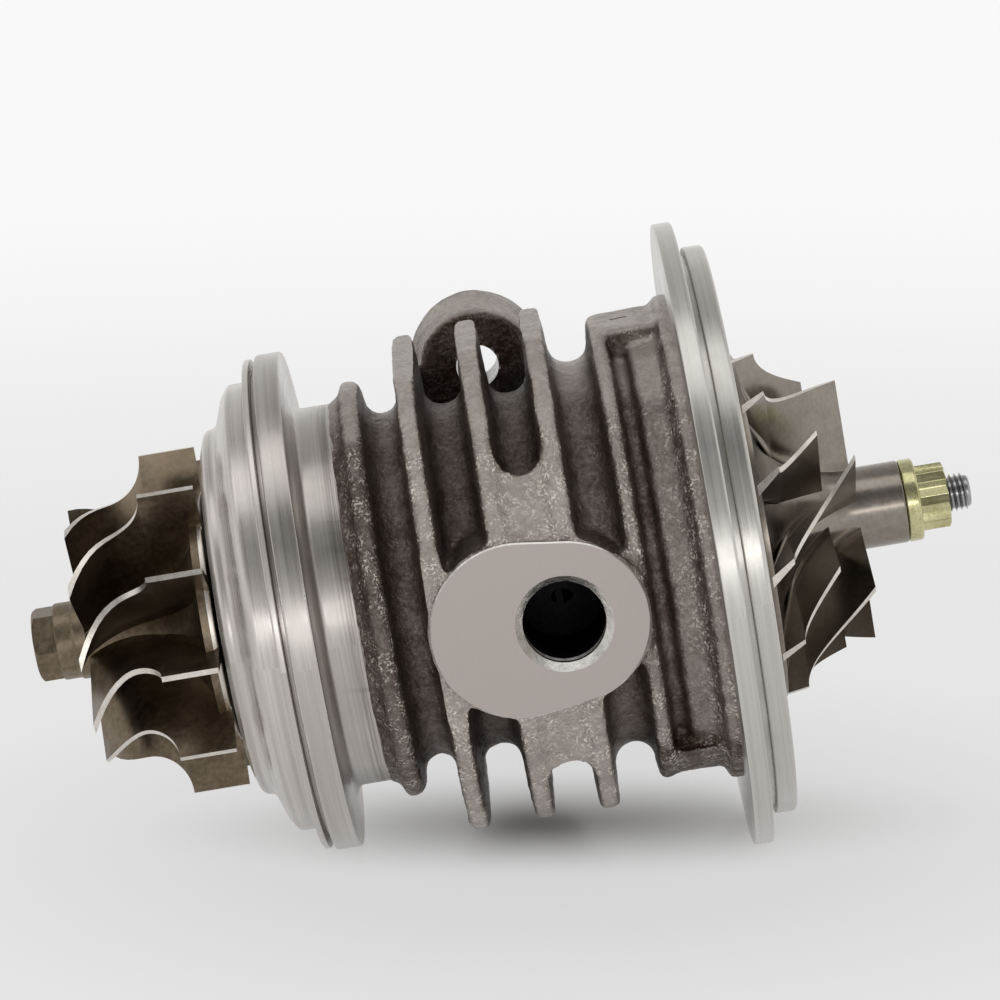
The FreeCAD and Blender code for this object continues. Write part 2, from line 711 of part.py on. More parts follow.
def screw_hole(index):
    """The tapped hole in the casting for one backplate screw."""
    side, up = screw_place(index)
    face = size(REGISTER_FACE)
    end = size(REGISTER_FACE + " - screw_engagement - screw_end_gap")
    return bar(size("screw_shank_radius"), end, face, up, side)


# Pieces turned from bar, and the two wheels

def heat_shroud():
    """Pressed steel dish between the turbine wheel and the housing."""
    wall = "shroud_wall"
    outer = [
        ("0 - seat_step", "shroud_flange_radius"), ("0 - seat_step - " + wall, "shroud_flange_radius"),
        ("0 - seat_step - " + wall, "shroud_neck_radius"), ("0 - shroud_shoulder", "shroud_neck_radius"),
        ("0 - shroud_shoulder - 1.1", "shroud_shoulder_radius"),
        ("0 - shroud_step", "shroud_step_radius + 0.8"), ("0 - shroud_step - 0.6", "shroud_step_radius"),
        ("0 - shroud_front + 0.9", "shroud_step_radius"),
        ("0 - shroud_front", "shroud_front_radius"), ("0 - shroud_front", "shroud_hole_radius"),
    ]
    inner = [
        ("0 - shroud_front + " + wall, "shroud_hole_radius"),
        ("0 - shroud_front + " + wall, "shroud_front_radius - 0.4"),
        ("0 - shroud_front + 0.9 + " + wall + " / 2", "shroud_step_radius - " + wall),
        ("0 - shroud_step - 0.2", "shroud_step_radius - " + wall),
        ("0 - shroud_step + " + wall, "shroud_step_radius - 0.1"),
        ("0 - shroud_shoulder", "shroud_shoulder_radius - 0.6"),
        ("0 - shroud_shoulder + 0.7", "shroud_neck_radius - " + wall),
        ("0 - seat_step", "shroud_neck_radius - " + wall),
    ]
    body = new_body("heat_shroud")
    revolve(body, "shroud_pressing", outer + inner)
    return body


def rotor_shaft():
    """Steel shaft: seal boss at the turbine end, two journals, and the stub that carries the stack."""
    start = "0 - weld_plane"
    ring = "0 - turbine_ring_start"
    ring_end = ring + " + " + RING_GROOVE_WIDTH
    root = "seal_boss_radius + ring_fit - ring_thickness - ring_groove_gap"
    thread = WHEEL_NOSE + " + thread_inset"
    tip = WHEEL_NOSE + " + shaft_end_length"
    points = [
        (start, "0"), (start, "seal_boss_radius"), (ring, "seal_boss_radius"), (ring, root),
        (ring_end, root), (ring_end, "seal_boss_radius"), ("seal_boss_end", "seal_boss_radius"),
        ("seal_cone_end", "journal_radius"),
        (BORE_RELIEF_START, "journal_radius"), (BORE_RELIEF_START, "shaft_waist_radius"),
        (BORE_RELIEF_END, "shaft_waist_radius"), (BORE_RELIEF_END, "journal_radius"),
        (SHAFT_SHOULDER, "journal_radius"), (SHAFT_SHOULDER, "stub_radius"), (thread, "stub_radius"),
        (thread + " + thread_relief", "thread_radius"), (tip + " - thread_tip_break", "thread_radius"),
        (tip, "thread_radius - thread_tip_break"), (tip, "0"),
    ]
    body = new_body("rotor_shaft")
    revolve(body, "shaft_turning", points)
    return body


def journal_bearing(label, start):
    """Floating bronze bush with oil holes through its wall."""
    end = start + " + bearing_length"
    body = new_body(label)
    points = [
        (start, BEARING_INNER), (start, BEARING_OUTER), (end, BEARING_OUTER), (end, BEARING_INNER),
    ]
    revolve(body, label + "_turning", points)
    middle = start + " + bearing_length / 2"
    hole = extrude(body, label + "_oil_hole", "PartDesign::Pocket",
                   lambda sketch: add_circle(sketch, middle, "0", "bearing_oil_hole_radius"),
                   "XY_Plane", length="bearing_bore_radius + " + OVERCUT, reverse=True)
    repeat_round(body, label + "_oil_holes", hole, "bearing_oil_hole_count")
    return body


def split_ring(label, start, width, outer, inner, opening):
    """Flat spring ring with a gap on its upper side."""
    end = f"{start} + {width}"
    body = new_body(label)
    revolve(body, label + "_turning", [(start, inner), (start, outer), (end, outer), (end, inner)])
    half = opening + " / 2"
    gap = [(start + " - 1", "0 - " + half), (end + " + 1", "0 - " + half), (end + " + 1", half)]
    gap += [(start + " - 1", half)]
    extrude(body, label + "_gap", "PartDesign::Pocket", lambda sketch: add_outline(sketch, gap), "XY_Plane",
            length=outer + " + 1", reverse=True)
    return body


def thrust_collar():
    """Grooved collar that turns with the shaft inside the thrust bearing's slot."""
    waist_start = THRUST_SEAT + " - thrust_play"
    bore = "stub_radius + stub_fit"
    points = [
        (SHAFT_SHOULDER, bore), (SHAFT_SHOULDER, "collar_radius"), (waist_start, "collar_radius"),
        (waist_start, "collar_waist_radius"), (COLLAR_WAIST_END, "collar_waist_radius"),
        (COLLAR_WAIST_END, "collar_radius"), (COLLAR_END, "collar_radius"), (COLLAR_END, bore),
    ]
    body = new_body("thrust_collar")
    revolve(body, "collar_turning", points)
    return body


def thrust_bearing():
    """Bronze plate with a slot that drops over the collar's waist, open towards the drain."""
    plate_radius = "thrust_pocket_radius - thrust_plate_gap"
    body = new_body("thrust_bearing")
    revolve(body, "thrust_plate", [(THRUST_SEAT, "0"), (THRUST_SEAT, plate_radius),
                                   (THRUST_PLATE_END, plate_radius), (THRUST_PLATE_END, "0")])
    middle = THRUST_SEAT + " + thrust_plate_thickness / 2"
    slot_half = "collar_waist_radius + thrust_slot_gap"

    def slot(sketch):
        add_obround(sketch, ("0", "0"), ("thrust_pocket_radius * 2", "0"), slot_half, slot_half)
    extrude(body, "collar_slot", "PartDesign::Pocket", slot, "YZ_Plane",
            length="thrust_plate_thickness * 2", offset=middle, both=True)
    for side, up in (("upper", "thrust_pin_spacing / 2"), ("lower", "0 - thrust_pin_spacing / 2")):
        extrude(body, side + "_pin_hole", "PartDesign::Pocket",
                lambda sketch, up=up: add_circle(sketch, "0", up, "thrust_pin_radius + thrust_pin_slack"),
                "YZ_Plane", length="thrust_plate_thickness * 2", offset=middle, both=True)
    return body


def oil_baffle():
    """Pressed steel tray between the thrust bearing and the backplate."""
    rim = "thrust_pocket_radius - thrust_plate_gap"
    web = REGISTER_FACE + " - baffle_sheet"
    hole = "collar_radius + baffle_hole_gap"
    points = [
        (THRUST_PLATE_END, rim + " - baffle_sheet"), (THRUST_PLATE_END, rim), (REGISTER_FACE, rim),
        (REGISTER_FACE, hole), (web, hole), (web, rim + " - baffle_sheet"),
    ]
    body = new_body("oil_baffle")
    revolve(body, "baffle_pressing", points)
    return body


def seal_sleeve():
    """Sleeve on the shaft with the oil flinger and the groove of the compressor piston ring."""
    bore = "stub_radius + stub_fit"
    root = "sleeve_radius + ring_fit - ring_thickness - ring_groove_gap"
    ring_end = COMPRESSOR_RING + " + " + RING_GROOVE_WIDTH
    flinger_end = FLINGER_START + " + flinger_thickness"
    points = [
        (COLLAR_END, bore), (COLLAR_END, "sleeve_neck_radius"), (FLINGER_START, "sleeve_neck_radius"),
        (FLINGER_START, "flinger_radius"), (flinger_end, "flinger_radius"), (flinger_end, "sleeve_radius"),
        (COMPRESSOR_RING, "sleeve_radius"), (COMPRESSOR_RING, root), (ring_end, root),
        (ring_end, "sleeve_radius"), (SLEEVE_END, "sleeve_radius"), (SLEEVE_END, bore),
    ]
    body = new_body("seal_sleeve")
    revolve(body, "sleeve_turning", points)
    return body


def backplate():
    """Turned aluminium plate that closes the housing and carries the compressor cover."""
    register = "register_radius - register_fit"
    groove_start = REGISTER_FACE + " + seal_groove_offset"
    groove_end = groove_start + " + seal_groove_width"
    groove_root = "register_radius - seal_groove_depth - seal_ring_slack"
    recess = "flinger_radius + flinger_recess_gap"
    groove_edge = "spigot_radius + backplate_groove_land"
    groove_floor = FLANGE_FRONT + " - backplate_groove_relief"
    groove_bottom = "spigot_radius - backplate_groove_depth"
    rim = groove_edge + " + backplate_rim_width"
    points = [(REGISTER_FACE, recess), (REGISTER_FACE, register), (groove_start, register)]
    points += [(groove_start, groove_root), (groove_end, groove_root), (groove_end, register)]
    points += [("housing_length", register), ("housing_length", rim), (FLANGE_FRONT, rim)]
    points += [(FLANGE_FRONT, groove_edge), (groove_floor, groove_edge), (groove_floor, groove_bottom)]
    points += [(SPIGOT_BACK, groove_bottom), (SPIGOT_BACK, "spigot_radius")]
    points += [(SPIGOT_FRONT + " - spigot_chamfer", "spigot_radius")]
    points += [(SPIGOT_FRONT, "spigot_radius - spigot_chamfer"), (SPIGOT_FRONT, "backplate_bore_radius")]
    points += [(FLINGER_RECESS_END, "backplate_bore_radius"), (FLINGER_RECESS_END, recess)]
    body = new_body("backplate")
    revolve(body, "backplate_turning", points)
    side = "screw_circle_radius * cos(180 / screw_count)"
    up = "screw_circle_radius * sin(180 / screw_count)"
    head = "screw_head_radius + screw_counterbore_gap"
    hole = extrude(body, "screw_hole", "PartDesign::Pocket",
                   lambda sketch: add_circle(sketch, side, up, "screw_hole_radius"), "YZ_Plane",
                   length=SPIGOT_FRONT + " - (" + REGISTER_FACE + ")", offset=SPIGOT_FRONT)
    repeat_round(body, "screw_holes", hole, "screw_count")
    bore = extrude(body, "screw_counterbore", "PartDesign::Pocket",
                   lambda sketch: add_circle(sketch, side, up, head), "YZ_Plane",
                   length="screw_head_height + screw_head_recess", offset=SPIGOT_FRONT)
    repeat_round(body, "screw_counterbores", bore, "screw_count")
    return body


def backplate_seal_ring():
    """Square-cut rubber ring in the groove of the backplate's register."""
    start = REGISTER_FACE + " + seal_groove_offset + seal_ring_slack"
    end = start + " + seal_groove_width - 2 * seal_ring_slack"
    outer = "register_radius - seal_ring_slack"
    inner = "register_radius - seal_groove_depth"
    body = new_body("backplate_seal_ring")
    revolve(body, "seal_ring_section", [(start, inner), (start, outer), (end, outer), (end, inner)])
    return body


def backplate_screws():
    """Socket-head screws that hold the backplate to the housing."""
    seat = size(SCREW_SEAT)
    top = seat + size("screw_head_height")
    end = size(REGISTER_FACE + " - screw_engagement")
    flats = size("screw_socket_flats")
    screws = []
    for index in range(int(size("screw_count"))):
        side, up = screw_place(index)
        head = bar(size("screw_head_radius"), seat, top, up, side)
        shank = bar(size("screw_shank_radius"), end, seat, up, side)
        socket = hexagon(flats, top - size("screw_socket_depth"), top).translated(Vector(0, side, up))
        screws.append(head.fuse(shank).cut(socket).removeSplitter())
    return publish("backplate_screws", Part.makeCompound(screws))


def hexagon(flats, start, end, turn=0.0):
    """A six-sided bar along the shaft, given its width across flats."""
    reach = flats / math.sqrt(3)
    angles = [math.pi / 3 * corner + turn for corner in range(6)]
    corners = [Vector(start, reach * math.cos(angle), reach * math.sin(angle)) for angle in angles]
    return Part.Face(Part.makePolygon(corners + corners[:1])).extrude(Vector(end - start, 0, 0))


def thrust_pins():
    pins = [placed_pin(side, "thrust_pin_radius") for side in (1, -1)]
    return publish("thrust_bearing_pins", Part.makeCompound(pins))


def blade_section(along, inner, outer, root, tip, turn, slope):
    """One cross-section of a radial blade: a tapered strip turned about the shaft."""
    def corner(radius, half):
        spread = half / radius * math.sqrt(1 + (radius * slope) ** 2)
        return Vector(along, radius * math.cos(turn + spread), radius * math.sin(turn + spread))
    corners = [corner(inner, -root / 2), corner(outer, -tip / 2)]
    corners += [corner(outer, tip / 2), corner(inner, root / 2)]
    return Part.makePolygon(corners + corners[:1])


def lofted_blade(stations, inner, outer, root, tip, law):
    """A blade lofted through sections; law(along) gives the turn angle and its rate."""
    sections = []
    for along in stations:
        turn, slope = law(along)
        sections.append(blade_section(along, inner, outer, root, tip, turn, slope))
    return Part.makeLoft(sections, True, True)


def spaced(start, end, count):
    return [start + (end - start) * step / (count - 1) for step in range(count)]


def meridian(corners):
    """A face of the half-plane above the shaft, with straight sides between (along, radius) corners."""
    points = [Vector(along, radius, 0) for along, radius in corners]
    return Part.Face(Part.makePolygon(points + points[:1]))


def hollow_curve(start, end):
    """Corners of a quarter ellipse that leaves start towards the shaft and reaches end along it."""
    corners = []
    for step in range(CURVE_STEP_COUNT + 1):
        angle = math.pi / 2 * step / CURVE_STEP_COUNT
        along = end[0] + (start[0] - end[0]) * math.cos(angle)
        radius = start[1] - (start[1] - end[1]) * math.sin(angle)
        corners.append((along, radius))
    return corners


def turn_law(start, end, total, growth):
    """Turn angle of a blade, and its rate, growing as a power of the way from start to end."""
    def law(along):
        part = max(0.0, (along - start) / (end - start))
        return total * part ** growth, total * growth * part ** (growth - 1) / (end - start)
    return law


def turbine_wheel():
    """Radial-inflow turbine wheel: scalloped disc, concave hub, blades that curl towards the outlet."""
    back = size(TURBINE_BACK)
    front = back - size("turbine_tip_width")
    throat = back - size("turbine_throat_length")
    outlet = back - size("turbine_blade_length")
    tip = size("turbine_tip_radius")
    exit_radius = size("turbine_exit_radius")
    hub = size("turbine_hub_radius")
    disc = size("turbine_disc_radius")
    rim = back - size("turbine_disc_rim")
    collar = back - size("turbine_collar_length")
    weld = -size("weld_plane")
    boss = size("seal_boss_radius")
    flare = size("turbine_back_flare")
    rear = [(weld, 0), (weld, boss), (back + flare, boss), (back, boss + flare), (back, disc)]
    front_side = hollow_curve((rim, disc), (outlet, hub)) + [(collar, hub), (collar, 0)]
    wheel = meridian(rear + front_side).revolve(ORIGIN, ALONG_SHAFT, 360)
    nose = hexagon(size("turbine_nose_flats"), back - size("turbine_nose_length"), collar)

    start = hub - size("turbine_blade_root")
    shroud_line = hollow_curve((front, tip), (throat, exit_radius))
    sweep = meridian([(back, start), (back, tip)] + shroud_line + [(outlet, exit_radius), (outlet, start)])
    sweep = sweep.revolve(ORIGIN, ALONG_SHAFT, 360)
    bend_start = front - size("turbine_turn_delay")
    turn = math.radians(size("turbine_blade_turn"))
    law = turn_law(bend_start, outlet, turn, size("turbine_turn_growth"))
    stations = [back + flare] + spaced(bend_start, outlet - flare, BLADE_SECTION_COUNT)
    blade = lofted_blade(stations, start, tip + flare, size("turbine_blade_root"),
                         size("turbine_blade_tip"), law)
    blade = blade.common(sweep)
    count = int(size("turbine_blade_count"))
    places = [size("turbine_blade_place") + 360 * index / count for index in range(count)]
    blades = [blade.rotated(ORIGIN, ALONG_SHAFT, place) for place in places]
    return publish("turbine_wheel", wheel.fuse(blades + [nose]))


def compressor_wheel():
    """Aluminium compressor wheel: full blades and shorter splitter blades on a curved hub."""
    back = size(WHEEL_BACK)
    tip = size("compressor_tip_radius")
    rim = back + size("compressor_disc_rim")
    shoulder = rim + size("compressor_tip_width")
    inlet = back + size("compressor_blade_length")
    inlet_radius = size("compressor_inlet_radius")
    hub = size("compressor_hub_radius")
    hub_start = back + size("compressor_hub_length")
    nose = size(WHEEL_NOSE)
    bore = size("stub_radius + stub_fit")
    sleeve = size(SLEEVE_END)
    boss = size("sleeve_radius")
    rear = [(sleeve, bore), (sleeve, boss), (back, boss), (back, tip)]
    front_side = hollow_curve((rim, tip), (hub_start, hub)) + [(nose, hub), (nose, bore)]
    wheel = meridian(rear + front_side).revolve(ORIGIN, ALONG_SHAFT, 360)

    root = size("compressor_blade_root")
    start = hub - root
    middle = (back + rim) / 2
    shroud_line = hollow_curve((shoulder, tip), (inlet, inlet_radius))
    sweep = meridian([(middle, start), (middle, tip)] + shroud_line + [(inlet, start)])
    sweep = sweep.revolve(ORIGIN, ALONG_SHAFT, 360)
    turn = -math.radians(size("compressor_full_turn"))
    law = turn_law(rim, inlet, turn, size("compressor_turn_growth"))

    def blade_to(end):
        stations = spaced(back, end, BLADE_SECTION_COUNT)
        blade = lofted_blade(stations, start, tip + root, root, size("compressor_blade_tip"), law)
        return blade.common(sweep)
    full = blade_to(inlet + root)
    splitter = blade_to(back + size("compressor_splitter_length"))
    count = int(size("compressor_blade_pair_count"))
    pitch = 360 / count
    blades = []
    for index in range(count):
        place = size("compressor_blade_place") + pitch * index
        blades.append(full.rotated(ORIGIN, ALONG_SHAFT, place))
        blades.append(splitter.rotated(ORIGIN, ALONG_SHAFT, place + pitch / 2))
    return publish("compressor_wheel", wheel.fuse(blades).cut(bar(bore, sleeve, nose)))


def shaft_nut():
    """Twelve-point nut with a flange."""
    start = size(WHEEL_NOSE)
    flange_end = start + size("nut_flange_thickness")
    end = start + size("nut_height")
    flange = bar(size("nut_flange_radius"), start, flange_end)
    points = [hexagon(size("nut_flats"), flange_end, end, turn) for turn in (0, math.pi / 6)]
    bore = bar(size("thread_radius + nut_bore_fit"), start, end)
    neck = bar(size("stub_radius + stub_fit"), start, start + size("thread_inset + thread_relief"))
    return publish("shaft_nut", flange.fuse(points).cut([bore, neck]))


# Build everything, check it and write one file per sub-part

def build():
    parts = [finished_housing(), heat_shroud(), rotor_shaft(), turbine_wheel()]
    parts.append(journal_bearing("turbine_journal_bearing", TURBINE_BEARING))
    parts.append(journal_bearing("compressor_journal_bearing", COMPRESSOR_BEARING))
    for label, start in snap_ring_starts().items():
        inset = start + " + snap_groove_slack / 2"
        parts.append(split_ring(label, inset, "snap_ring_thickness", SNAP_GROOVE_RADIUS + " - ring_slack",
                                "snap_ring_inner_radius", "snap_ring_opening"))
    parts.append(split_ring("turbine_piston_ring", "0 - turbine_ring_start + ring_slack", "ring_width",
                            "seal_bore_radius - ring_fit", "seal_bore_radius - ring_fit - ring_thickness",
                            "ring_opening"))
    parts.append(split_ring("compressor_piston_ring", COMPRESSOR_RING + " + ring_slack", "ring_width",
                            "backplate_bore_radius - ring_fit",
                            "backplate_bore_radius - ring_fit - ring_thickness", "ring_opening"))
    parts += [thrust_collar(), thrust_bearing(), thrust_pins(), oil_baffle(), seal_sleeve(), backplate()]
    parts += [backplate_seal_ring(), backplate_screws(), compressor_wheel(), shaft_nut()]
    return parts


def check_and_write(parts):
    doc.recompute()
    for item in doc.Objects:
        if "Invalid" in item.State or "Error" in item.State:
            raise RuntimeError(f"{item.Label} did not build: {item.State}")
        cuts = item.TypeId in ("PartDesign::Pocket", "PartDesign::Groove")
        if cuts and item.BaseFeature.Shape.Volume - item.Shape.Volume < 0.05:
            raise RuntimeError(f"{item.Label} cuts nothing")
    os.makedirs("parts", exist_ok=True)
    for part in parts:
        if part.Shape.isNull() or not part.Shape.isValid():
            raise RuntimeError(f"{part.Label} has no valid shape")
    for part in parts:
        part.Shape.exportStep(f"parts/{part.Label}.step")
        print(f"{part.Label}: {len(part.Shape.Solids)} solid, {part.Shape.Volume:.0f} mm3")


check_and_write(build())
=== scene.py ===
import math

import bmesh
import bpy
from mathutils import Matrix, Vector, noise


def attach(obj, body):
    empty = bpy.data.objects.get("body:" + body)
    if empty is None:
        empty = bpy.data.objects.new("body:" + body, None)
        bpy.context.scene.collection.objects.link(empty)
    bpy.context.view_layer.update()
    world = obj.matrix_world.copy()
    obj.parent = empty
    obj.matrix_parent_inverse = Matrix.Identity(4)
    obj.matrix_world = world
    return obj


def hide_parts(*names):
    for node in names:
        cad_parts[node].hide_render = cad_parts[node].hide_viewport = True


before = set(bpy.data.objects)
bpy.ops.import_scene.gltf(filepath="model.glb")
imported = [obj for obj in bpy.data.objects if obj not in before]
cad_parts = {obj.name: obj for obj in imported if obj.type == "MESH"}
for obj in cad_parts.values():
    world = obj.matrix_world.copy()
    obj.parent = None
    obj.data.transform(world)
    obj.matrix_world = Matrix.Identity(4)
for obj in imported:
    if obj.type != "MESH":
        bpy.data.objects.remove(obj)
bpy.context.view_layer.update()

# Turbo cartridge. The shaft lies along X, from the turbine wheel at -X to the compressor wheel at +X.
# X = 0 is the front face of the turbine flange and the oil feed pad faces -Y.
# Pieces are shaped in millimetres and scaled to metres when they are finished.
MM = 0.001
TINY = 1e-4
ROUND_STEPS = 3
SHARP_ANGLE = math.radians(32)

# Turbine flange, neck and casting
FLANGE_RADIUS = 38.74
NECK_RADIUS = 29.5
NECK_END = 11.0
HOUSING_LENGTH = 63.52
CORE_RADIUS = 26.6
SHOULDER_RADIUS = 29.8
FINS_START = 18
FIRST_FIN_TOP = 35.4
FIN_TOP = 37.4
FIRST_FIN_END = 27.0
DRUM_START = 47.0
DRUM_END = 60.0
FACE_DEPTH = 37.0
PAD_PROUD = 0.7
PAD_EDGE = 0.22
PAD_CENTRES = ((33.8, 13.4), (40.7, 12.45))
FEED_CENTRE = 40.4
DRAIN_CENTRE = 33.3
EAR_HEIGHT = 26.2
EAR_TOP = 38.5
TOP_HEIGHT = 28
VOXEL = 0.62

# Bores, ports and screw holes of the housing
SHAFT_BORE = 8.05
BUSH_BORE = 6.25
SNAP_GROOVE = 6.95
SNAP_WIDTH = 1.0
HEAT_SPACE = 12.5
THRUST_SEAT = 12.0
COLLAR_SPACE = 18.8
PLATE_START = 60.52
PORT_DRILL = 6.19
PORT_THREAD = 6.85
PORT_MOUTH = 7.3
PORT_PITCH = 1.5
GALLERY_RADIUS = 1.6
DRAIN_RADIUS = 8.5
EAR_HOLE = 3.4
SCREW_CIRCLE = 22.5

# Wheels and shaft
TURBINE_BACK = -11.6
TURBINE_TIP = 26.6
COMPRESSOR_BACK = 71.5
COMPRESSOR_TIP = 26.8
BOSS_RADIUS = 7.95
JOURNAL_RADIUS = 4
STUB_RADIUS = 3.12
THREAD_CORE = 2.45
NUT_START = 95.0
SHAFT_END = 105.4


# Shapes

def turned(corners, steps=192):
    """A body turned about the shaft, from the (along, radius, rounding) corners of its outline."""
    bm = bmesh.new()
    points = [bm.verts.new((along, radius, 0)) for along, radius, rounding in corners]
    bm.faces.new(points)
    for reach in sorted({corner[2] for corner in corners if corner[2]}):
        chosen = [point for point, corner in zip(points, corners) if corner[2] == reach]
        bmesh.ops.bevel(bm, geom=chosen, affect="VERTICES", offset=reach, segments=ROUND_STEPS,
                        profile=0.5, material=-1, clamp_overlap=True)
    bmesh.ops.delete(bm, geom=bm.faces[:], context="FACES_ONLY")
    on_axis = [edge for edge in bm.edges if all(abs(vert.co.y) < TINY for vert in edge.verts)]
    bmesh.ops.delete(bm, geom=on_axis, context="EDGES")
    bmesh.ops.spin(bm, geom=bm.verts[:] + bm.edges[:], cent=(0, 0, 0), axis=(1, 0, 0),
                   angle=math.tau, steps=steps, use_merge=True)
    bmesh.ops.remove_doubles(bm, verts=bm.verts[:], dist=TINY)
    bmesh.ops.recalc_face_normals(bm, faces=bm.faces[:])
    return bm


def bar(start, end, radius, end_radius=None, sides=64):
    """A round bar, or a cone, between two points."""
    bm = bmesh.new()
    way = Vector(end) - Vector(start)
    middle = (Vector(start) + Vector(end)) / 2
    place = Matrix.Translation(middle) @ way.to_track_quat("Z", "Y").to_matrix().to_4x4()
    bmesh.ops.create_cone(bm, cap_ends=True, segments=sides, radius1=radius,
                          radius2=end_radius or radius, depth=way.length, matrix=place)
    return bm


def block(low, high):
    """A box between its lowest and its highest corner."""
    bm = bmesh.new()
    middle = (Vector(low) + Vector(high)) / 2
    size = Vector(high) - Vector(low)
    bmesh.ops.create_cube(bm, size=1, matrix=Matrix.Translation(middle) @ Matrix.Diagonal((*size, 1)))
    return bm


def part_ring(start, end, inner, outer, middle, half):
    """Part of a ring about the shaft, round the direction middle, as an angle from +Y towards +Z."""
    bm = bmesh.new()
    turn = Matrix.Rotation(middle - half, 3, "X")
    corners = [(start, inner), (end, inner), (end, outer), (start, outer)]
    face = bm.faces.new([bm.verts.new(turn @ Vector((along, radius, 0))) for along, radius in corners])
    bmesh.ops.spin(bm, geom=[face], cent=(0, 0, 0), axis=(1, 0, 0), angle=2 * half, steps=40)
    bmesh.ops.holes_fill(bm, edges=bm.edges[:], sides=4)
    bmesh.ops.recalc_face_normals(bm, faces=bm.faces[:])
    return bm


def prism(count, radii, start, end):
    """A bar along the shaft with count corners, whose radii repeat round it."""
    bm = bmesh.new()
    bmesh.ops.create_circle(bm, cap_ends=True, segments=count, radius=1)
    for index, vert in enumerate(bm.verts[:]):
        angle = math.tau * index / count
        radius = radii[index % len(radii)]
        vert.co = (start, radius * math.cos(angle), radius * math.sin(angle))
    grown = bmesh.ops.extrude_face_region(bm, geom=bm.faces[:])["geom"]
    tops = [item for item in grown if isinstance(item, bmesh.types.BMVert)]
    bmesh.ops.translate(bm, verts=tops, vec=(end - start, 0, 0))
    bmesh.ops.recalc_face_normals(bm, faces=bm.faces[:])
    return bm


def joined(parts):
    """Several closed shells in one bmesh."""
    whole = bmesh.new()
    for part in parts:
        mesh = bpy.data.meshes.new("shell")
        part.to_mesh(mesh)
        part.free()
        whole.from_mesh(mesh)
        bpy.data.meshes.remove(mesh)
    return whole


def held(bm):
    """A working object for a bmesh, so that modifiers can read it."""
    mesh = bpy.data.meshes.new("working")
    bm.to_mesh(mesh)
    bm.free()
    holder = bpy.data.objects.new("working", mesh)
    bpy.context.scene.collection.objects.link(holder)
    return holder


def released(holder, others=()):
    """The holder's mesh with its modifiers applied, as a bmesh. The working objects go."""
    result = bmesh.new()
    result.from_object(holder, bpy.context.evaluated_depsgraph_get())
    for item in (holder, *others):
        mesh = item.data
        bpy.data.objects.remove(item)
        bpy.data.meshes.remove(mesh)
    return result


def combined(base, steps):
    """A closed shape after each (operation, closed shape) step: UNION, DIFFERENCE or INTERSECT."""
    holder = held(base)
    others = []
    for operation, tool in steps:
        others.append(held(tool))
        step = holder.modifiers.new(operation, "BOOLEAN")
        step.operation = operation
        step.solver = "MANIFOLD"
        step.object = others[-1]
    return released(holder, others)


def wrap(bm):
    """A UV map for turned surfaces: once round the shaft across, along the outline up."""
    layer = bm.loops.layers.uv.new("wrap")
    for face in bm.faces:
        middle = face.calc_center_median()
        centre = math.atan2(middle.z, middle.y)
        for loop in face.loops:
            along, side, up = loop.vert.co
            reach = math.hypot(side, up)
            shift = math.remainder(math.atan2(up, side) - centre, math.tau) if reach > TINY else 0
            loop[layer].uv = ((centre + shift) / math.tau, (0.7 * along + 1.3 * reach) * 0.01)


def new_piece(name, bm, body, finishes, nodes):
    """Finishes a shape in metres, at the origin, as a piece that stands for CAD nodes."""
    wrap(bm)
    bmesh.ops.transform(bm, matrix=Matrix.Scale(MM, 4), verts=bm.verts[:])
    bm.normal_update()
    for face in bm.faces:
        face.smooth = True
    for edge in bm.edges:
        edge.smooth = edge.is_manifold and edge.calc_face_angle() < SHARP_ANGLE
    mesh = bpy.data.meshes.new(name)
    bm.to_mesh(mesh)
    bm.free()
    for finish in finishes:
        mesh.materials.append(finish)
    piece = bpy.data.objects.new(name, mesh)
    bpy.context.scene.collection.objects.link(piece)
    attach(piece, body)
    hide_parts(*nodes)
    return piece


# Finishes

def node(tree, kind, inputs=None, **settings):
    """A shader node with its settings, and its inputs linked to sockets or set to values."""
    made = tree.nodes.new("ShaderNode" + kind)
    for name, value in settings.items():
        setattr(made, name, value)
    for name, value in (inputs or {}).items():
        if isinstance(value, bpy.types.NodeSocket):
            tree.links.new(value, made.inputs[name])
        else:
            made.inputs[name].default_value = value
    return made


def new_finish(name, **constants):
    """A material with a shader whose constant values are set on its own sockets."""
    finish = bpy.data.materials.new(name)
    finish.use_nodes = True
    tree = finish.node_tree
    shader = tree.nodes["Principled BSDF"]
    for word, value in constants.items():
        shader.inputs[word.replace("_", " ").title()].default_value = value
    return finish, tree, shader


def maths(tree, operation, first, second=0.0, clamp=False):
    """Result of one sum on values or sockets."""
    return node(tree, "Math", {0: first, 1: second}, operation=operation, use_clamp=clamp).outputs[0]


def ramp(tree, value, start, end, low=0.0, high=1.0):
    """Runs smoothly from low to high as value goes from start to end."""
    inputs = {"Value": value, "From Min": start, "From Max": end, "To Min": low, "To Max": high}
    return node(tree, "MapRange", inputs, interpolation_type="SMOOTHSTEP").outputs[0]


def speckle(tree, vector, scale, detail=4.0, roughness=0.6):
    """Fractal noise; scale is in bumps per millimetre of an object in metres."""
    inputs = {"Vector": vector, "Scale": scale / MM, "Detail": detail, "Roughness": roughness}
    return node(tree, "TexNoise", inputs).outputs["Fac"]


def blended(tree, factor, first, second):
    """A colour between two, each given as three values or as a socket."""
    first, second = ((*colour, 1) if isinstance(colour, tuple) else colour for colour in (first, second))
    return node(tree, "Mix", {0: factor, 6: first, 7: second}, data_type="RGBA").outputs[2]


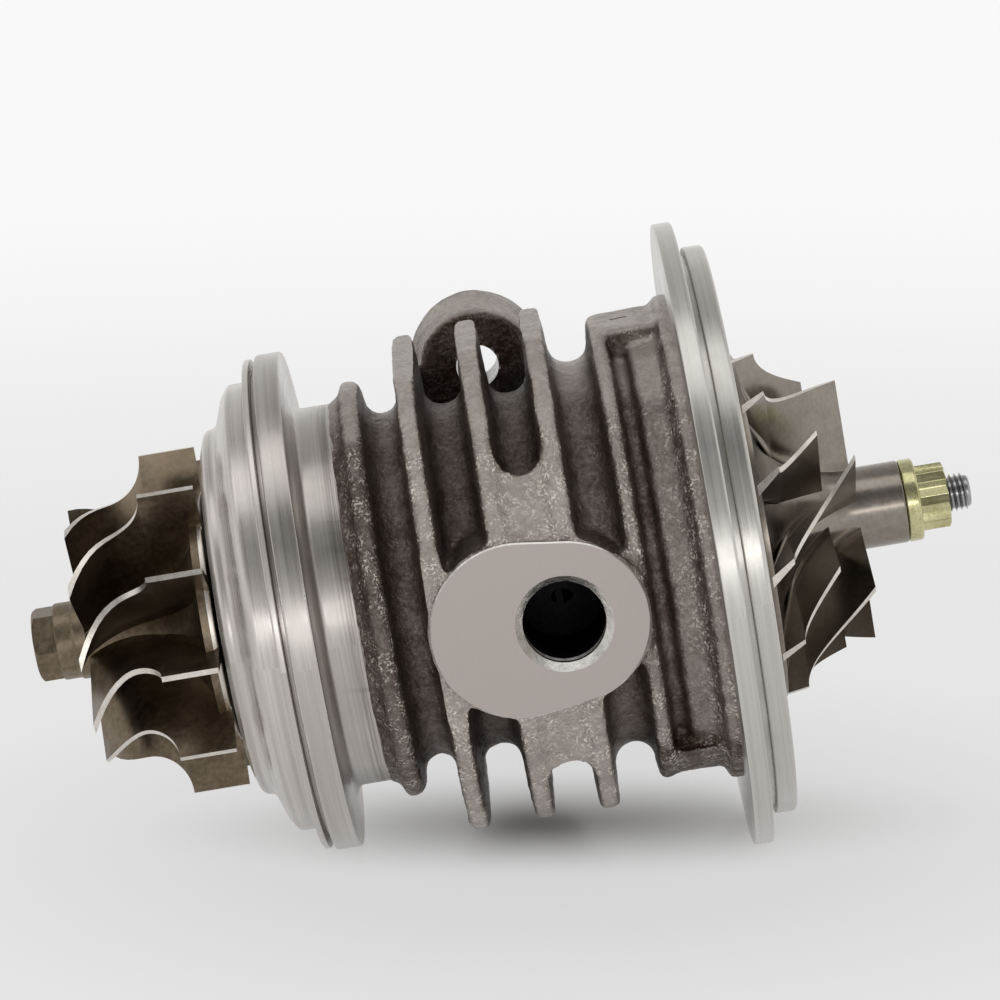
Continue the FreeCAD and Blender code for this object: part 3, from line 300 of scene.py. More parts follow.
def around_shaft(tree):
    """Object coordinates, their three parts and a vector of along, radius and a little of the angle."""
    place = node(tree, "TexCoord").outputs["Object"]
    parts = node(tree, "SeparateXYZ", {0: place})
    across = node(tree, "CombineXYZ", {"Y": parts.outputs["Y"], "Z": parts.outputs["Z"]}).outputs[0]
    radius = node(tree, "VectorMath", {0: across}, operation="LENGTH").outputs["Value"]
    angle = maths(tree, "ARCTAN2", parts.outputs["Z"], parts.outputs["Y"])
    slow = maths(tree, "MULTIPLY", angle, 0.0003)
    lathe = node(tree, "CombineXYZ", {"X": parts.outputs["X"], "Y": radius, "Z": slow}).outputs[0]
    return place, parts, lathe


def raised(tree, shader, height, depth):
    """Bump from a height of 0 to 1 that stands for depth millimetres."""
    bump = node(tree, "Bump", {"Height": height, "Distance": depth * MM, "Strength": 1.0})
    tree.links.new(bump.outputs[0], shader.inputs["Normal"])


def turned_finish(name, dark, light, roughness, groove=0.006, lines_scale=7.0, metallic=1.0,
                  rib_reflection_start=None):
    """Lathe-turned metal: fine lines round the shaft, uneven gloss and a stretched highlight, with painted
    dark blots for a reflected rib past a given start along the shaft.
    """
    finish, tree, shader = new_finish(name, metallic=metallic, anisotropic=0.5, anisotropic_rotation=0.25)
    place, parts, lathe = around_shaft(tree)
    lines = speckle(tree, lathe, lines_scale, detail=3.0)
    broad = speckle(tree, lathe, 0.9, detail=2.0)
    smear = speckle(tree, place, 0.12, detail=3.0)
    tone = maths(tree, "ADD", maths(tree, "MULTIPLY", lines, 0.45), maths(tree, "MULTIPLY", broad, 0.55))
    colour = blended(tree, ramp(tree, tone, 0.35, 0.65), dark, light)
    # Painted reflection: dark blots past the start stand for the dark rib reflected in the turned neck
    if rib_reflection_start:
        reach = ramp(tree, parts.outputs["X"], rib_reflection_start * MM, rib_reflection_start * MM + 0.005, 0.0, 0.75)
        blots = ramp(tree, speckle(tree, lathe, 2.2, detail=5.0), 0.38, 0.6)
        painted_rib_reflection = maths(tree, "MULTIPLY", reach, blots)
        colour = blended(tree, painted_rib_reflection, colour, (0.09, 0.07, 0.06))
    tree.links.new(colour, shader.inputs["Base Color"])
    gloss = maths(tree, "ADD", ramp(tree, tone, 0.3, 0.7, roughness * 0.8, roughness * 1.2),
                  ramp(tree, smear, 0.35, 0.7, -0.04, 0.06))
    tree.links.new(gloss, shader.inputs["Roughness"])
    tangent = node(tree, "Tangent", direction_type="UV_MAP", uv_map="wrap")
    tree.links.new(tangent.outputs[0], shader.inputs["Tangent"])
    raised(tree, shader, lines, groove)
    return finish


def cast_finish():
    """Sand-cast iron: painted shade darkens its flanks and grooves, painted light lightens its crests,
    with painted glints along their edges.
    """
    finish, tree, shader = new_finish("sand_cast_iron", metallic=0.8)
    place = node(tree, "TexCoord").outputs["Object"]
    # crest carries the painted light and shade, edge carries where painted glints show
    crest = node(tree, "Attribute", attribute_name="crest").outputs["Fac"]
    edge = node(tree, "Attribute", attribute_name="edge").outputs["Fac"]
    grain = speckle(tree, place, 1.3, detail=5.0, roughness=0.65)
    patches = speckle(tree, place, 0.2, detail=3.0)
    glints = speckle(tree, place, 2.4, detail=2.0)
    # The grain and patches are the iron's own tone; crest adds painted light on crests and tops and
    # painted shade on flanks and in grooves
    tone_and_painted_light = maths(tree, "ADD", ramp(tree, grain, 0.35, 0.72, -0.05, 0.12), crest)
    tone_and_painted_light = maths(tree, "ADD", tone_and_painted_light, ramp(tree, patches, 0.35, 0.65, -0.04, 0.08), clamp=True)
    colour = blended(tree, tone_and_painted_light, (0.060, 0.034, 0.022), (0.63, 0.57, 0.53))
    # Painted glints: pale specks mixed into the colour in clusters along the edges
    clusters = maths(tree, "MULTIPLY", ramp(tree, speckle(tree, place, 0.45), 0.42, 0.6), edge)
    painted_glint = maths(tree, "MULTIPLY", ramp(tree, glints, 0.50, 0.62), clusters)
    colour = blended(tree, painted_glint, colour, (0.90, 0.84, 0.76))
    tree.links.new(colour, shader.inputs["Base Color"])
    tree.links.new(ramp(tree, grain, 0.3, 0.7, 0.46, 0.29), shader.inputs["Roughness"])
    sharp = maths(tree, "MULTIPLY", maths(tree, "MULTIPLY", glints, edge), 1.2)
    raised(tree, shader, maths(tree, "ADD", grain, sharp), 0.34)
    return finish


def plain_metal(name, dark, light, roughness, grain=1.2, depth=0.012, metallic=1.0):
    """Cast or ground metal with a fine even grain."""
    finish, tree, shader = new_finish(name, metallic=metallic)
    place = node(tree, "TexCoord").outputs["Object"]
    fine = speckle(tree, place, grain)
    broad = speckle(tree, place, grain / 8, detail=2.0)
    tone = maths(tree, "ADD", maths(tree, "MULTIPLY", fine, 0.5), maths(tree, "MULTIPLY", broad, 0.5))
    colour = blended(tree, ramp(tree, tone, 0.35, 0.65), dark, light)
    tree.links.new(colour, shader.inputs["Base Color"])
    gloss = ramp(tree, tone, 0.3, 0.7, roughness * 0.85, roughness * 1.15)
    tree.links.new(gloss, shader.inputs["Roughness"])
    raised(tree, shader, fine, depth)
    return finish


CAST = cast_finish()
# Past 6 mm along the neck, painted dark blots stand for the rib reflected in it
TURNED_IRON = turned_finish("turned_iron", (0.47, 0.435, 0.41), (0.58, 0.545, 0.515), 0.33,
                            rib_reflection_start=6.0)
# Painted shade: near-black stands for the shade deep inside the bores and the oil port
BORE_PAINTED_BLACK = plain_metal("bore_painted_black", (0.004, 0.004, 0.004), (0.010, 0.009, 0.009), 0.4)
MILLED_IRON = plain_metal("milled_iron", (0.44, 0.395, 0.37), (0.48, 0.43, 0.405), 0.5, grain=4.0,
                          depth=0.004, metallic=0.85)
BROKEN_EDGE = plain_metal("broken_edge", (0.50, 0.48, 0.45), (0.74, 0.72, 0.68), 0.24, grain=1.0,
                          depth=0.05)
CUT_THREAD = plain_metal("cut_thread", (0.10, 0.095, 0.09), (0.26, 0.25, 0.24), 0.22, grain=1.0,
                         depth=0.03)
SPUN_STEEL = turned_finish("spun_steel", (0.50, 0.465, 0.44), (0.70, 0.66, 0.63), 0.31,
                           groove=0.016, lines_scale=2.2, metallic=0.75)
TURNED_ALUMINIUM = turned_finish("turned_aluminium", (0.52, 0.50, 0.465), (0.64, 0.62, 0.585), 0.32)
TURBINE_CAST = plain_metal("turbine_alloy", (0.140, 0.108, 0.073), (0.25, 0.20, 0.143), 0.38, depth=0.01)
GROUND_EDGE = plain_metal("ground_edge", (0.62, 0.57, 0.51), (0.80, 0.76, 0.70), 0.33, grain=3.0)
WHEEL_CAST = plain_metal("wheel_aluminium", (0.235, 0.208, 0.177), (0.30, 0.27, 0.235), 0.23, depth=0.004)
PLATED = plain_metal("plated_nut", (0.46, 0.43, 0.215), (0.66, 0.63, 0.38), 0.20, grain=2.0)
GROUND_STEEL = turned_finish("ground_steel", (0.24, 0.24, 0.245), (0.44, 0.44, 0.44), 0.25)
BRONZE = plain_metal("bearing_bronze", (0.55, 0.36, 0.17), (0.72, 0.50, 0.27), 0.32)
SPRING_STEEL = plain_metal("spring_steel", (0.10, 0.10, 0.105), (0.18, 0.18, 0.185), 0.35)
PRESSED_STEEL = plain_metal("pressed_steel", (0.42, 0.41, 0.40), (0.56, 0.55, 0.54), 0.34)
RUBBER = plain_metal("seal_rubber", (0.012, 0.012, 0.013), (0.03, 0.03, 0.031), 0.55, metallic=0.0)


# Bearing housing

def casting_outline():
    """Outside of the casting, from the neck to the compressor end, with rounded fins and grooves."""
    corners = [(9.2, 0, 0), (9.2, 28.8, 0.4), (10.6, 29.9, 0.4), (11.7, 30.3, 0.8), (12.1, 32.5, 0.9)]
    corners += [(14.9, 32.3, 1.0), (15.5, CORE_RADIUS, 2.6)]
    fins = ((20.5, 21.1, 24.0, 24.7, 39.2), (30.5, 31.1, 34.1, 34.8, 39.0), (40.6, 41.2, 44.1, 44.7, 39.2))
    for foot, left, right, end, radius in fins:
        after = SHOULDER_RADIUS if foot > DRAIN_CENTRE else CORE_RADIUS
        corners += [(foot, CORE_RADIUS, 2.9), (left, radius, 0.7), (right, radius, 0.7), (end, after, 2.9)]
    corners += [(50.6, SHOULDER_RADIUS, 2.9), (51.1, 36.2, 1.0), (53.5, 36.1, 1.0), (54.0, 31.6, 0.8)]
    corners += [(56.1, 31.6, 0.8), (56.5, 34.0, 0.9), (60.7, 34.2, 1.2), (61.8, 37.7, 0.5)]
    return corners + [(64.6, 37.7, 0), (64.6, 0, 0)]


def feed_pad(depth, grow):
    """The egg-shaped oil feed pad: two circles joined by straight sides."""
    bm = bmesh.new()
    root = 4 - CORE_RADIUS
    for centre, radius in PAD_CENTRES:
        for level, inset in ((root, 0), (PAD_EDGE - depth, 0), (-depth, PAD_EDGE)):
            place = Matrix.Translation((centre, level, 0)) @ Matrix.Rotation(math.pi / 2, 4, "X")
            bmesh.ops.create_circle(bm, cap_ends=False, segments=128, radius=radius + grow - inset,
                                    matrix=place)
    bmesh.ops.convex_hull(bm, input=bm.verts[:], use_existing_faces=False)
    loose = [vert for vert in bm.verts if not vert.link_faces]
    bmesh.ops.delete(bm, geom=loose, context="VERTS")
    bare = [edge for edge in bm.edges if not edge.link_faces]
    bmesh.ops.delete(bm, geom=bare, context="EDGES")
    bmesh.ops.recalc_face_normals(bm, faces=bm.faces[:])
    return bm


def feed_web():
    """The web between the second and third full fins, with an arch at each end."""
    middle = math.radians(181.3)
    half = math.radians(41)
    web = part_ring(32.6, 42.7, 24.0, 38.3, middle, half)
    arches = []
    for turn in (middle - half, middle + half):
        way = Vector((0, math.cos(turn), math.sin(turn)))
        gap = Vector((37.7, 0, 0))
        arches.append(("DIFFERENCE", bar(gap + way * 20, gap + way * 45, 3.1)))
    return combined(web, arches)


def casting_shapes():
    """The closed shapes that the casting is made of."""
    shapes = [turned(casting_outline(), steps=180), feed_pad(FACE_DEPTH + 1, 0.15), feed_web()]
    for height in (-EAR_HEIGHT, EAR_HEIGHT):
        low, high = (DRAIN_CENTRE, 27.5, height), (DRAIN_CENTRE, EAR_TOP, height)
        shapes.append(bar(low, high, 9.0, 10.7, sides=96))
    drain_plate = block((22.8, 28, -EAR_HEIGHT), (43.6, EAR_TOP, EAR_HEIGHT))
    drain_neck = bar((DRAIN_CENTRE, 18, 0), (DRAIN_CENTRE, EAR_TOP, 0), 13, sides=96)
    start, end = 52.4, 62.4
    drum_flat = block((start, -7.2, 28), (end, 7.2, 35.8))
    drum_foot = part_ring(start, end, 28.0, 35.6, math.pi * 1.5, math.radians(41.5))
    return shapes + [drain_plate, drain_neck, drum_flat, drum_foot]


def cast_skin():
    """The casting's shapes run together into one rough skin, with its fins cast flat on top."""
    holder = held(joined(casting_shapes()))
    skin = holder.modifiers.new("skin", "REMESH")
    skin.mode = "VOXEL"
    skin.voxel_size = VOXEL
    bm = released(holder)
    for vert in bm.verts:
        along, side, up = vert.co
        if FINS_START < along < DRUM_START:
            vert.co.z = min(up, FIRST_FIN_TOP if along < FIRST_FIN_END else FIN_TOP)
        if FINS_START < along < DRUM_END and abs(up) < 20:
            vert.co.y = max(side, PAD_PROUD - FACE_DEPTH)
    bmesh.ops.smooth_vert(bm, verts=bm.verts[:], factor=0.6, use_axis_x=True, use_axis_y=True,
                          use_axis_z=True)
    bm.normal_update()
    for vert in bm.verts:
        swell = noise.fractal(vert.co * 0.22, 1.0, 2.0, 2) * 0.16
        grain = noise.fractal(vert.co * 0.9, 0.9, 2.1, 3) * 0.10
        smooth_top = 0.35 if vert.co.z > TOP_HEIGHT else 1.0
        vert.co += vert.normal * (swell + grain * smooth_top)
    return bm


def turbine_flange():
    """The turned end of the casting: nose, seat of the shroud, flange and neck."""
    corners = [(-6.85, 0, 0), (-6.85, 14.0, 0.5), (-0.85, 14.0, 0), (-0.85, 36.2, 0.15), (0, 36.2, 0)]
    corners += [(0, FLANGE_RADIUS, 0.35), (3.93, FLANGE_RADIUS, 0.35), (4.35, 31.5, 0.4)]
    corners += [(4.9, NECK_RADIUS, 0.8), (NECK_END, NECK_RADIUS, 0), (NECK_END, 0, 0)]
    return turned(corners)


def step_out(start, end, radius):
    """A stretch of the bushes' bore that is turned out to a wider radius."""
    return [(start, BUSH_BORE, 0), (start, radius, 0), (end, radius, 0), (end, BUSH_BORE, 0)]


def shaft_bores():
    """Everything turned out of the casting along the shaft."""
    corners = [(-8, 0, 0), (-8, SHAFT_BORE, 0), (3, SHAFT_BORE, 0), (3, HEAT_SPACE, 0)]
    corners += [(12, HEAT_SPACE, 0), (12, BUSH_BORE, 0)]
    for start in (13.0, 21.9):
        corners += step_out(start, start + SNAP_WIDTH, SNAP_GROOVE)
    corners += step_out(25, 40.4, 8)
    corners += step_out(42.5, 42.5 + SNAP_WIDTH, SNAP_GROOVE)
    corners += [(51.5, BUSH_BORE, 0), (51.5, THRUST_SEAT, 0), (54.05, THRUST_SEAT, 0)]
    corners += [(54.05, COLLAR_SPACE, 0), (PLATE_START, COLLAR_SPACE, 0), (PLATE_START, 30, 0)]
    corners += [(65, 30, 0), (65, 0, 0)]
    return turned(corners, steps=96)


def feed_port():
    """The threaded oil feed port with its chamfer, as the shape that is cut out."""
    corners = [(-15.5, 0, 0), (-15.5, PORT_DRILL, 0)]
    for index in range(9):
        start = -15.2 + index * PORT_PITCH
        middle, end = start + PORT_PITCH * 0.45, start + PORT_PITCH * 0.9
        corners += [(start, PORT_DRILL, 0), (middle, PORT_THREAD, 0), (end, PORT_DRILL, 0)]
    corners += [(-1.05, PORT_DRILL, 0), (0, PORT_MOUTH, 0), (1, PORT_MOUTH, 0), (1, 0, 0)]
    bm = turned(corners, steps=96)
    place = Matrix.Translation((FEED_CENTRE, -FACE_DEPTH, 0)) @ Matrix.Rotation(-math.pi / 2, 4, "Z")
    bmesh.ops.transform(bm, matrix=place, verts=bm.verts[:])
    return bm


def screw_places():
    """Side and height of the backplate's four screws."""
    turns = [math.pi / 4 + index * math.pi / 2 for index in range(4)]
    return [(SCREW_CIRCLE * math.cos(turn), SCREW_CIRCLE * math.sin(turn)) for turn in turns]


def housing_cuts():
    """The shapes that are cut out of the casting."""
    drain_face = block((16, FACE_DEPTH, -60), (50, 60, 60))
    plate_face = block((HOUSING_LENGTH, -60, -60), (80, 60, 60))
    drain_cavity = block((5, 9, -6), (55.05, 18, 6))
    drum_slit = block((54.8, 0.0, 34.3), (57.3, 0.8, 37))
    cuts = [drain_face, plate_face, shaft_bores(), feed_port(), drain_cavity]
    cuts.append(bar((DRAIN_CENTRE, 5, 0), (DRAIN_CENTRE, 40, 0), DRAIN_RADIUS))
    for side in (-1, 1):
        height, pin = side * EAR_HEIGHT, side * 15.5
        cuts.append(bar((DRAIN_CENTRE, 24, height), (DRAIN_CENTRE, 40, height), EAR_HOLE))
        cuts.append(bar((52.8, 0, pin), (61, 0, pin), 2.02, sides=32))
    port_floor = (FEED_CENTRE, -20.5, 0)
    for target in ((17.95, -5.2, 0), (47.45, -5.2, 0), (55.05, -15.4, 0)):
        cuts.append(bar(port_floor, target, GALLERY_RADIUS, sides=24))
    cuts += [bar((52.9, side, up), (61, side, up), 2.0, sides=32) for side, up in screw_places()]
    return cuts + [drum_slit]


def step_up(value, start, end):
    """0 below start, 1 above end and smooth between."""
    part = min(max((value - start) / (end - start), 0.0), 1.0)
    return part * part * (3 - 2 * part)


def glint_start(along):
    """Radius past which the ribs, then the fins, then the drum's ridges get painted glints."""
    if along < NECK_END + 5:
        return 29.0
    return 36.0 if along < DRUM_START else 33.4


def paint_light_and_glints(bm):
    """Two values at each point for the finish: how light the casting is painted there, as painted light
    and shade, and how strongly painted glints show along its edges.
    """
    crest = bm.verts.layers.float.new("crest")
    edge = bm.verts.layers.float.new("edge")
    for vert in bm.verts:
        along, side, up = vert.co
        radius = max(math.hypot(side, up), TINY)
        facing = (vert.normal.y * side + vert.normal.z * up) / radius
        # Painted light on the outward faces of the crests, painted shade on the flanks and in the grooves
        outer = step_up(radius, 33.0, 38.0)
        foot = 0.0
        if along > DRUM_START:
            outer = 0.7 * step_up(radius, 32.0, 36.0)
            # Painted shade on the drum's underside, which faces down
            foot = step_up(-up, 22.0, 26.0)
        # Painted light on faces that turn upwards near the top
        top = step_up(vert.normal.z, 0.3, 0.8) * step_up(up, 26.0, 29.0)
        level = 0.10 + 0.07 * facing + 0.47 * step_up(facing, 0.55, 0.95) * outer + 0.42 * top
        vert[crest] = min(max(level * (1 - 0.85 * foot), 0.0), 0.62)
        # Painted glints along the crests' edges, fewer on flat crests and on upward faces
        start = glint_start(along)
        rim = step_up(radius, start, start + 1.8) * step_up(facing, 0.2, 0.5)
        flat = step_up(facing, 0.94, 1.0)
        vert[edge] = (0.15 + 0.85 * rim * (1 - 0.45 * flat)) * (1 - 0.9 * top)


HOUSING_FINISHES = [CAST, TURNED_IRON, MILLED_IRON, BORE_PAINTED_BLACK, BROKEN_EDGE, CUT_THREAD]


def housing_finish(face):
    """The finish that a face of the housing has, from its place and the way it looks."""
    along, side, up = face.calc_center_median()
    radius = math.hypot(side, up)
    if abs(abs(side) - FACE_DEPTH) < 0.02 and abs(face.normal.y) > 0.999:
        return MILLED_IRON
    if side < -20 and math.hypot(along - FEED_CENTRE, up) < PORT_MOUTH + 0.1:
        if side < -36.1:
            return BROKEN_EDGE
        # Deeper in the port the thread gives way to the near-black painted shade
        return CUT_THREAD if side < -33.2 else BORE_PAINTED_BLACK
    slanted = abs(face.normal.x) + abs(face.normal.z) > 0.5 and abs(face.normal.y) > 0.5
    if side < PAD_EDGE - FACE_DEPTH and slanted and along < 54:
        return BROKEN_EDGE
    # Bores inside the casting get the near-black painted shade
    if side > -22 and along < 58 and radius < 22:
        return BORE_PAINTED_BLACK
    on_neck = along < 9 or along < NECK_END + 0.1 and abs(radius - NECK_RADIUS) < 0.04
    in_drain = side > 5 and math.hypot(along - DRAIN_CENTRE, up) < DRAIN_RADIUS + 0.1
    in_ear = side > 24 and math.hypot(along - DRAIN_CENTRE, abs(up) - EAR_HEIGHT) < EAR_HOLE + 0.1
    at_end = abs(along - HOUSING_LENGTH) < 0.02 and face.normal.x > 0.99
    bored = radius < 25 or (along > 60 and radius < 30.1)
    return TURNED_IRON if on_neck or in_drain or in_ear or at_end or bored else CAST


def bearing_housing():
    """The finned casting, with the flange, the pad and all that is cut after casting."""
    steps = [("UNION", turbine_flange()), ("UNION", feed_pad(FACE_DEPTH, -0.05))]
    steps += [("DIFFERENCE", cut) for cut in housing_cuts()]
    bm = combined(cast_skin(), steps)
    bm.normal_update()
    paint_light_and_glints(bm)
    for face in bm.faces:
        face.material_index = HOUSING_FINISHES.index(housing_finish(face))
    new_piece("finned_bearing_housing", bm, "housing", HOUSING_FINISHES, ["bearing_housing"])


def heat_shroud():
    """Pressed steel dish with a rolled shoulder and a polished step."""
    corners = [(-0.85, 38.3, 0.15), (-1.8, 38.3, 0.25), (-1.8, 34.95, 0.3), (-4.9, 34.95, 0.45)]
    corners += [(-6.1, 33.4, 0.7), (-7.5, 29.4, 0.5), (-8.2, 28.6, 0.4), (-9.6, 28.5, 0.7)]
    corners += [(-10.6, 25.6, 0.9), (-10.6, 9.6, 0.3), (-9.65, 9.6, 0), (-9.65, 25.2, 0.5)]
    corners += [(-9.2, 27.6, 0.5), (-7.8, 27.65, 0), (-6.65, 28.5, 0.3), (-5.0, 32.8, 0.5)]
    corners += [(-4.3, 33.95, 0.4), (-0.85, 33.95, 0)]
    new_piece("heat_shroud_dish", turned(corners), "housing", [SPUN_STEEL],
              ["heat_shroud"])


def backplate():
    """Turned plate with its spigot, grooves and the counterbores of its screws."""
    corners = [(PLATE_START, 13.5, 0), (PLATE_START, 29.95, 0.3), (61.12, 29.95, 0), (61.12, 28.15, 0)]
    corners += [(63.12, 28.15, 0), (63.12, 29.95, 0), (HOUSING_LENGTH, 29.95, 0)]
    corners += [(HOUSING_LENGTH, 48.5, 0.25), (66.47, 48.5, 0.45), (66.47, 44.8, 0), (66.32, 44.8, 0)]
    corners += [(66.32, 43.0, 0), (67.49, 43.0, 0), (67.49, 44.26, 0.3), (70.75, 44.26, 0.7)]
    corners += [(70.75, 7.5, 0.2), (63.32, 7.5, 0), (63.32, 13.5, 0)]
    cuts = []
    for side, up in screw_places():
        cuts.append(("DIFFERENCE", bar((59, side, up), (72, side, up), 2.2)))
        cuts.append(("DIFFERENCE", bar((66.75, side, up), (72, side, up), 3.8)))
    bm = combined(turned(corners, steps=256), cuts)
    new_piece("compressor_backplate", bm, "housing", [TURNED_ALUMINIUM],
              ["backplate"])


# Rotor

def quarter(start, end, count):
    """Points of a quarter ellipse that leaves start towards the shaft and reaches end along it."""
    points = []
    for step in range(count + 1):
        angle = math.pi / 2 * step / count
        along = end[0] + (start[0] - end[0]) * math.cos(angle)
        points.append((along, start[1] - (start[1] - end[1]) * math.sin(angle)))
    return points


def hub_line(start, end):
    """Radius of the hub at a place along the shaft, as a quarter ellipse between two points."""
    def radius(along):
        part = (along - end[0]) / (start[0] - end[0])
        if part <= 0:
            return end[1]
        return start[1] - (start[1] - end[1]) * math.sqrt(max(0.0, 1 - min(part, 1.0) ** 2))
    return radius


def curl(start, end, total, growth):
    """Turn angle of a blade and its rate, growing as a power of the way from start to end."""
    def law(along):
        part = max(0.0, (along - start) / (end - start))
        return total * part ** growth, total * growth * part ** (growth - 1) / (end - start)
    return law


def blade(outer_line, hub, law, root, tip, sink=1.0, fillet=1.6, spans=14):
    """One blade: a block bent so that it stands on the hub and ends at the outer line."""
    bm = bmesh.new()
    bmesh.ops.create_cube(bm, size=2)
    for axis, cuts in ((0, len(outer_line) - 2), (1, spans - 1)):
        edges = [edge for edge in bm.edges if abs((edge.verts[0].co - edge.verts[1].co)[axis]) > TINY]
        bmesh.ops.subdivide_edges(bm, edges=edges, cuts=cuts, use_grid_fill=True)
    for face in bm.faces:
        face.material_index = int(all(vert.co.y > 1 - TINY for vert in face.verts))
    for vert in bm.verts:
        station = round((vert.co.x + 1) / 2 * (len(outer_line) - 1))
        along, outer = outer_line[station]
        floor = hub(along)
        span = ((vert.co.y + 1) / 2) ** 1.25
        radius = floor - sink + (outer - floor + sink) * span
        rise = max(0.0, 1 - (radius - floor) / fillet) if radius > floor else 1.0
        half = (root + (tip - root) * span) / 2 + fillet * 0.35 * rise ** 2
        turn, rate = law(along)
        turn += vert.co.z * half / radius * math.sqrt(1 + (radius * rate) ** 2)
        vert.co = (along, radius * math.cos(turn), radius * math.sin(turn))
    bmesh.ops.recalc_face_normals(bm, faces=bm.faces[:])
    return bm


def repeated(make, count, place):
    """Copies of a shape, turned evenly about the shaft."""
    shapes = []
    for index in range(count):
        bm = make()
        turn = Matrix.Rotation(place + math.tau * index / count, 4, "X")
        bmesh.ops.transform(bm, matrix=turn, verts=bm.verts[:])
        shapes.append(bm)
    return shapes


def turbine_wheel():
    """Eleven blades on a hollow-curved hub, with the six-sided nose."""
    front, throat, outlet = TURBINE_BACK - 8.6, TURBINE_BACK - 14.9, TURBINE_BACK - 21.0
    rim, disc, hub_end, throat_radius = TURBINE_BACK - 2.0, 19.6, 6.3, 19.9
    disc_face = TURBINE_BACK - 0.8
    corners = [(-7, 0, 0), (-7, BOSS_RADIUS, 0), (-10, BOSS_RADIUS, 0.8), (TURBINE_BACK, 9.6, 0.6)]
    corners += [(TURBINE_BACK, disc, 0.25), (disc_face, disc, 0)]
    corners += [(along, radius, 0) for along, radius in quarter((rim, disc), (outlet, hub_end), 28)]
    corners += [(-34.4, hub_end, 0.5), (-34.7, 6.0, 0.3), (-37.5, 6.0, 0.4), (-37.5, 0, 0)]
    hub = hub_line((rim, disc), (outlet, hub_end))
    outer = [(TURBINE_BACK, TURBINE_TIP), (TURBINE_BACK - 4, TURBINE_TIP)]
    outer += quarter((front, TURBINE_TIP), (throat, throat_radius), 14)
    outer += [(throat + (outlet - throat) * part / 5, throat_radius) for part in range(1, 6)]
    law = curl(front - 1.8, outlet, math.radians(27), 2.5)
    blades = repeated(lambda: blade(outer, hub, law, 2.0, 0.85), 11, math.radians(19))
    nose = prism(6, [10.2 / math.sqrt(3)], -40.9, -37.2)
    cap = turned([(-37, 0, 0), (-37, 6, 0), (-40.3, 6, 0), (-40.9, 5.2, 0.2), (-40.9, 0, 0)], steps=96)
    nose = combined(nose, [("INTERSECT", cap)])
    bm = combined(turned(corners), [("UNION", shape) for shape in (*blades, nose)])
    for face in bm.faces:
        along, side, up = face.calc_center_median()
        if along > disc_face and disc - 0.2 < math.hypot(side, up) < disc + 0.02:
            face.material_index = 1
    new_piece("bladed_turbine_wheel", bm, "rotor", [TURBINE_CAST, GROUND_EDGE],
              ["turbine_wheel"])


def compressor_wheel():
    """Six full and six splitter blades on a hollow-curved hub."""
    rim, inlet = COMPRESSOR_BACK + 0.9, COMPRESSOR_BACK + 16.0
    hub_start, hub_end = (rim, COMPRESSOR_TIP - 0.04), (COMPRESSOR_BACK + 17.1, 6.4)
    corners = [(71.1, STUB_RADIUS, 0), (71.1, 7.4, 0), (COMPRESSOR_BACK, 7.4, 0)]
    corners += [(COMPRESSOR_BACK, hub_start[1], 0.2)]
    corners += [(along, radius, 0) for along, radius in quarter(hub_start, hub_end, 28)]
    corners += [(NUT_START, hub_end[1], 0.4), (NUT_START, STUB_RADIUS, 0)]
    hub = hub_line(hub_start, hub_end)
    law = curl(rim, inlet, -math.radians(41.5), 1.25)
    outer = [(COMPRESSOR_BACK + 0.45, COMPRESSOR_TIP)]
    outer += quarter((rim + 3.2, COMPRESSOR_TIP), (inlet, 20.3), 22)
    split = [point for point in outer if point[0] < COMPRESSOR_BACK + 11.7]
    shapes = repeated(lambda: blade(outer, hub, law, 1.5, 0.6), 6, math.radians(4.2))
    shapes += repeated(lambda: blade(split, hub, law, 1.5, 0.6), 6, math.radians(34.2))
    bm = combined(turned(corners), [("UNION", shape) for shape in shapes])
    new_piece("bladed_compressor_wheel", bm, "rotor", [WHEEL_CAST, GROUND_EDGE],
              ["compressor_wheel"])


def shaft_nut():
    """Twelve-point nut with a flange."""
    bore = 2.98
    corners = [(NUT_START, bore, 0), (NUT_START, 6.4, 0.3), (97.3, 6.4, 0.5), (97.3, bore, 0)]
    flange = turned(corners, steps=96)
    points = prism(24, [5.25, 4.55], 96.8, 101.8)
    sides = [edge for edge in points.edges if abs((edge.verts[0].co - edge.verts[1].co).x) > 1]
    bmesh.ops.bevel(points, geom=sides, affect="EDGES", offset=0.16, segments=2, profile=0.5, material=-1)
    cap = turned([(96, 0, 0), (96, 6, 0), (101.1, 6, 0), (101.8, 4.6, 0.1), (101.8, 0, 0)], steps=96)
    points = combined(points, [("INTERSECT", cap), ("DIFFERENCE", bar((95, 0, 0), (103, 0, 0), bore))])
    bm = combined(flange, [("UNION", points)])
    new_piece("twelve_point_nut", bm, "rotor", [PLATED], ["shaft_nut"])


def screw_thread(start, turns, pitch, core, crest):
    """A helical thread about the shaft, as a closed ridge that is sunk into its core."""
    bm = bmesh.new()
    corners = [(start, core - 0.2), (start + pitch * 0.9, core - 0.2), (start + pitch * 0.45, crest)]
    face = bm.faces.new([bm.verts.new((along, radius, 0)) for along, radius in corners])
    steps = 64
    bmesh.ops.spin(bm, geom=[face], cent=(0, 0, 0), axis=(1, 0, 0), dvec=(pitch / steps, 0, 0),
                   angle=math.tau * turns, steps=steps * turns)
    bmesh.ops.holes_fill(bm, edges=bm.edges[:], sides=3)
    bmesh.ops.recalc_face_normals(bm, faces=bm.faces[:])
    return bm


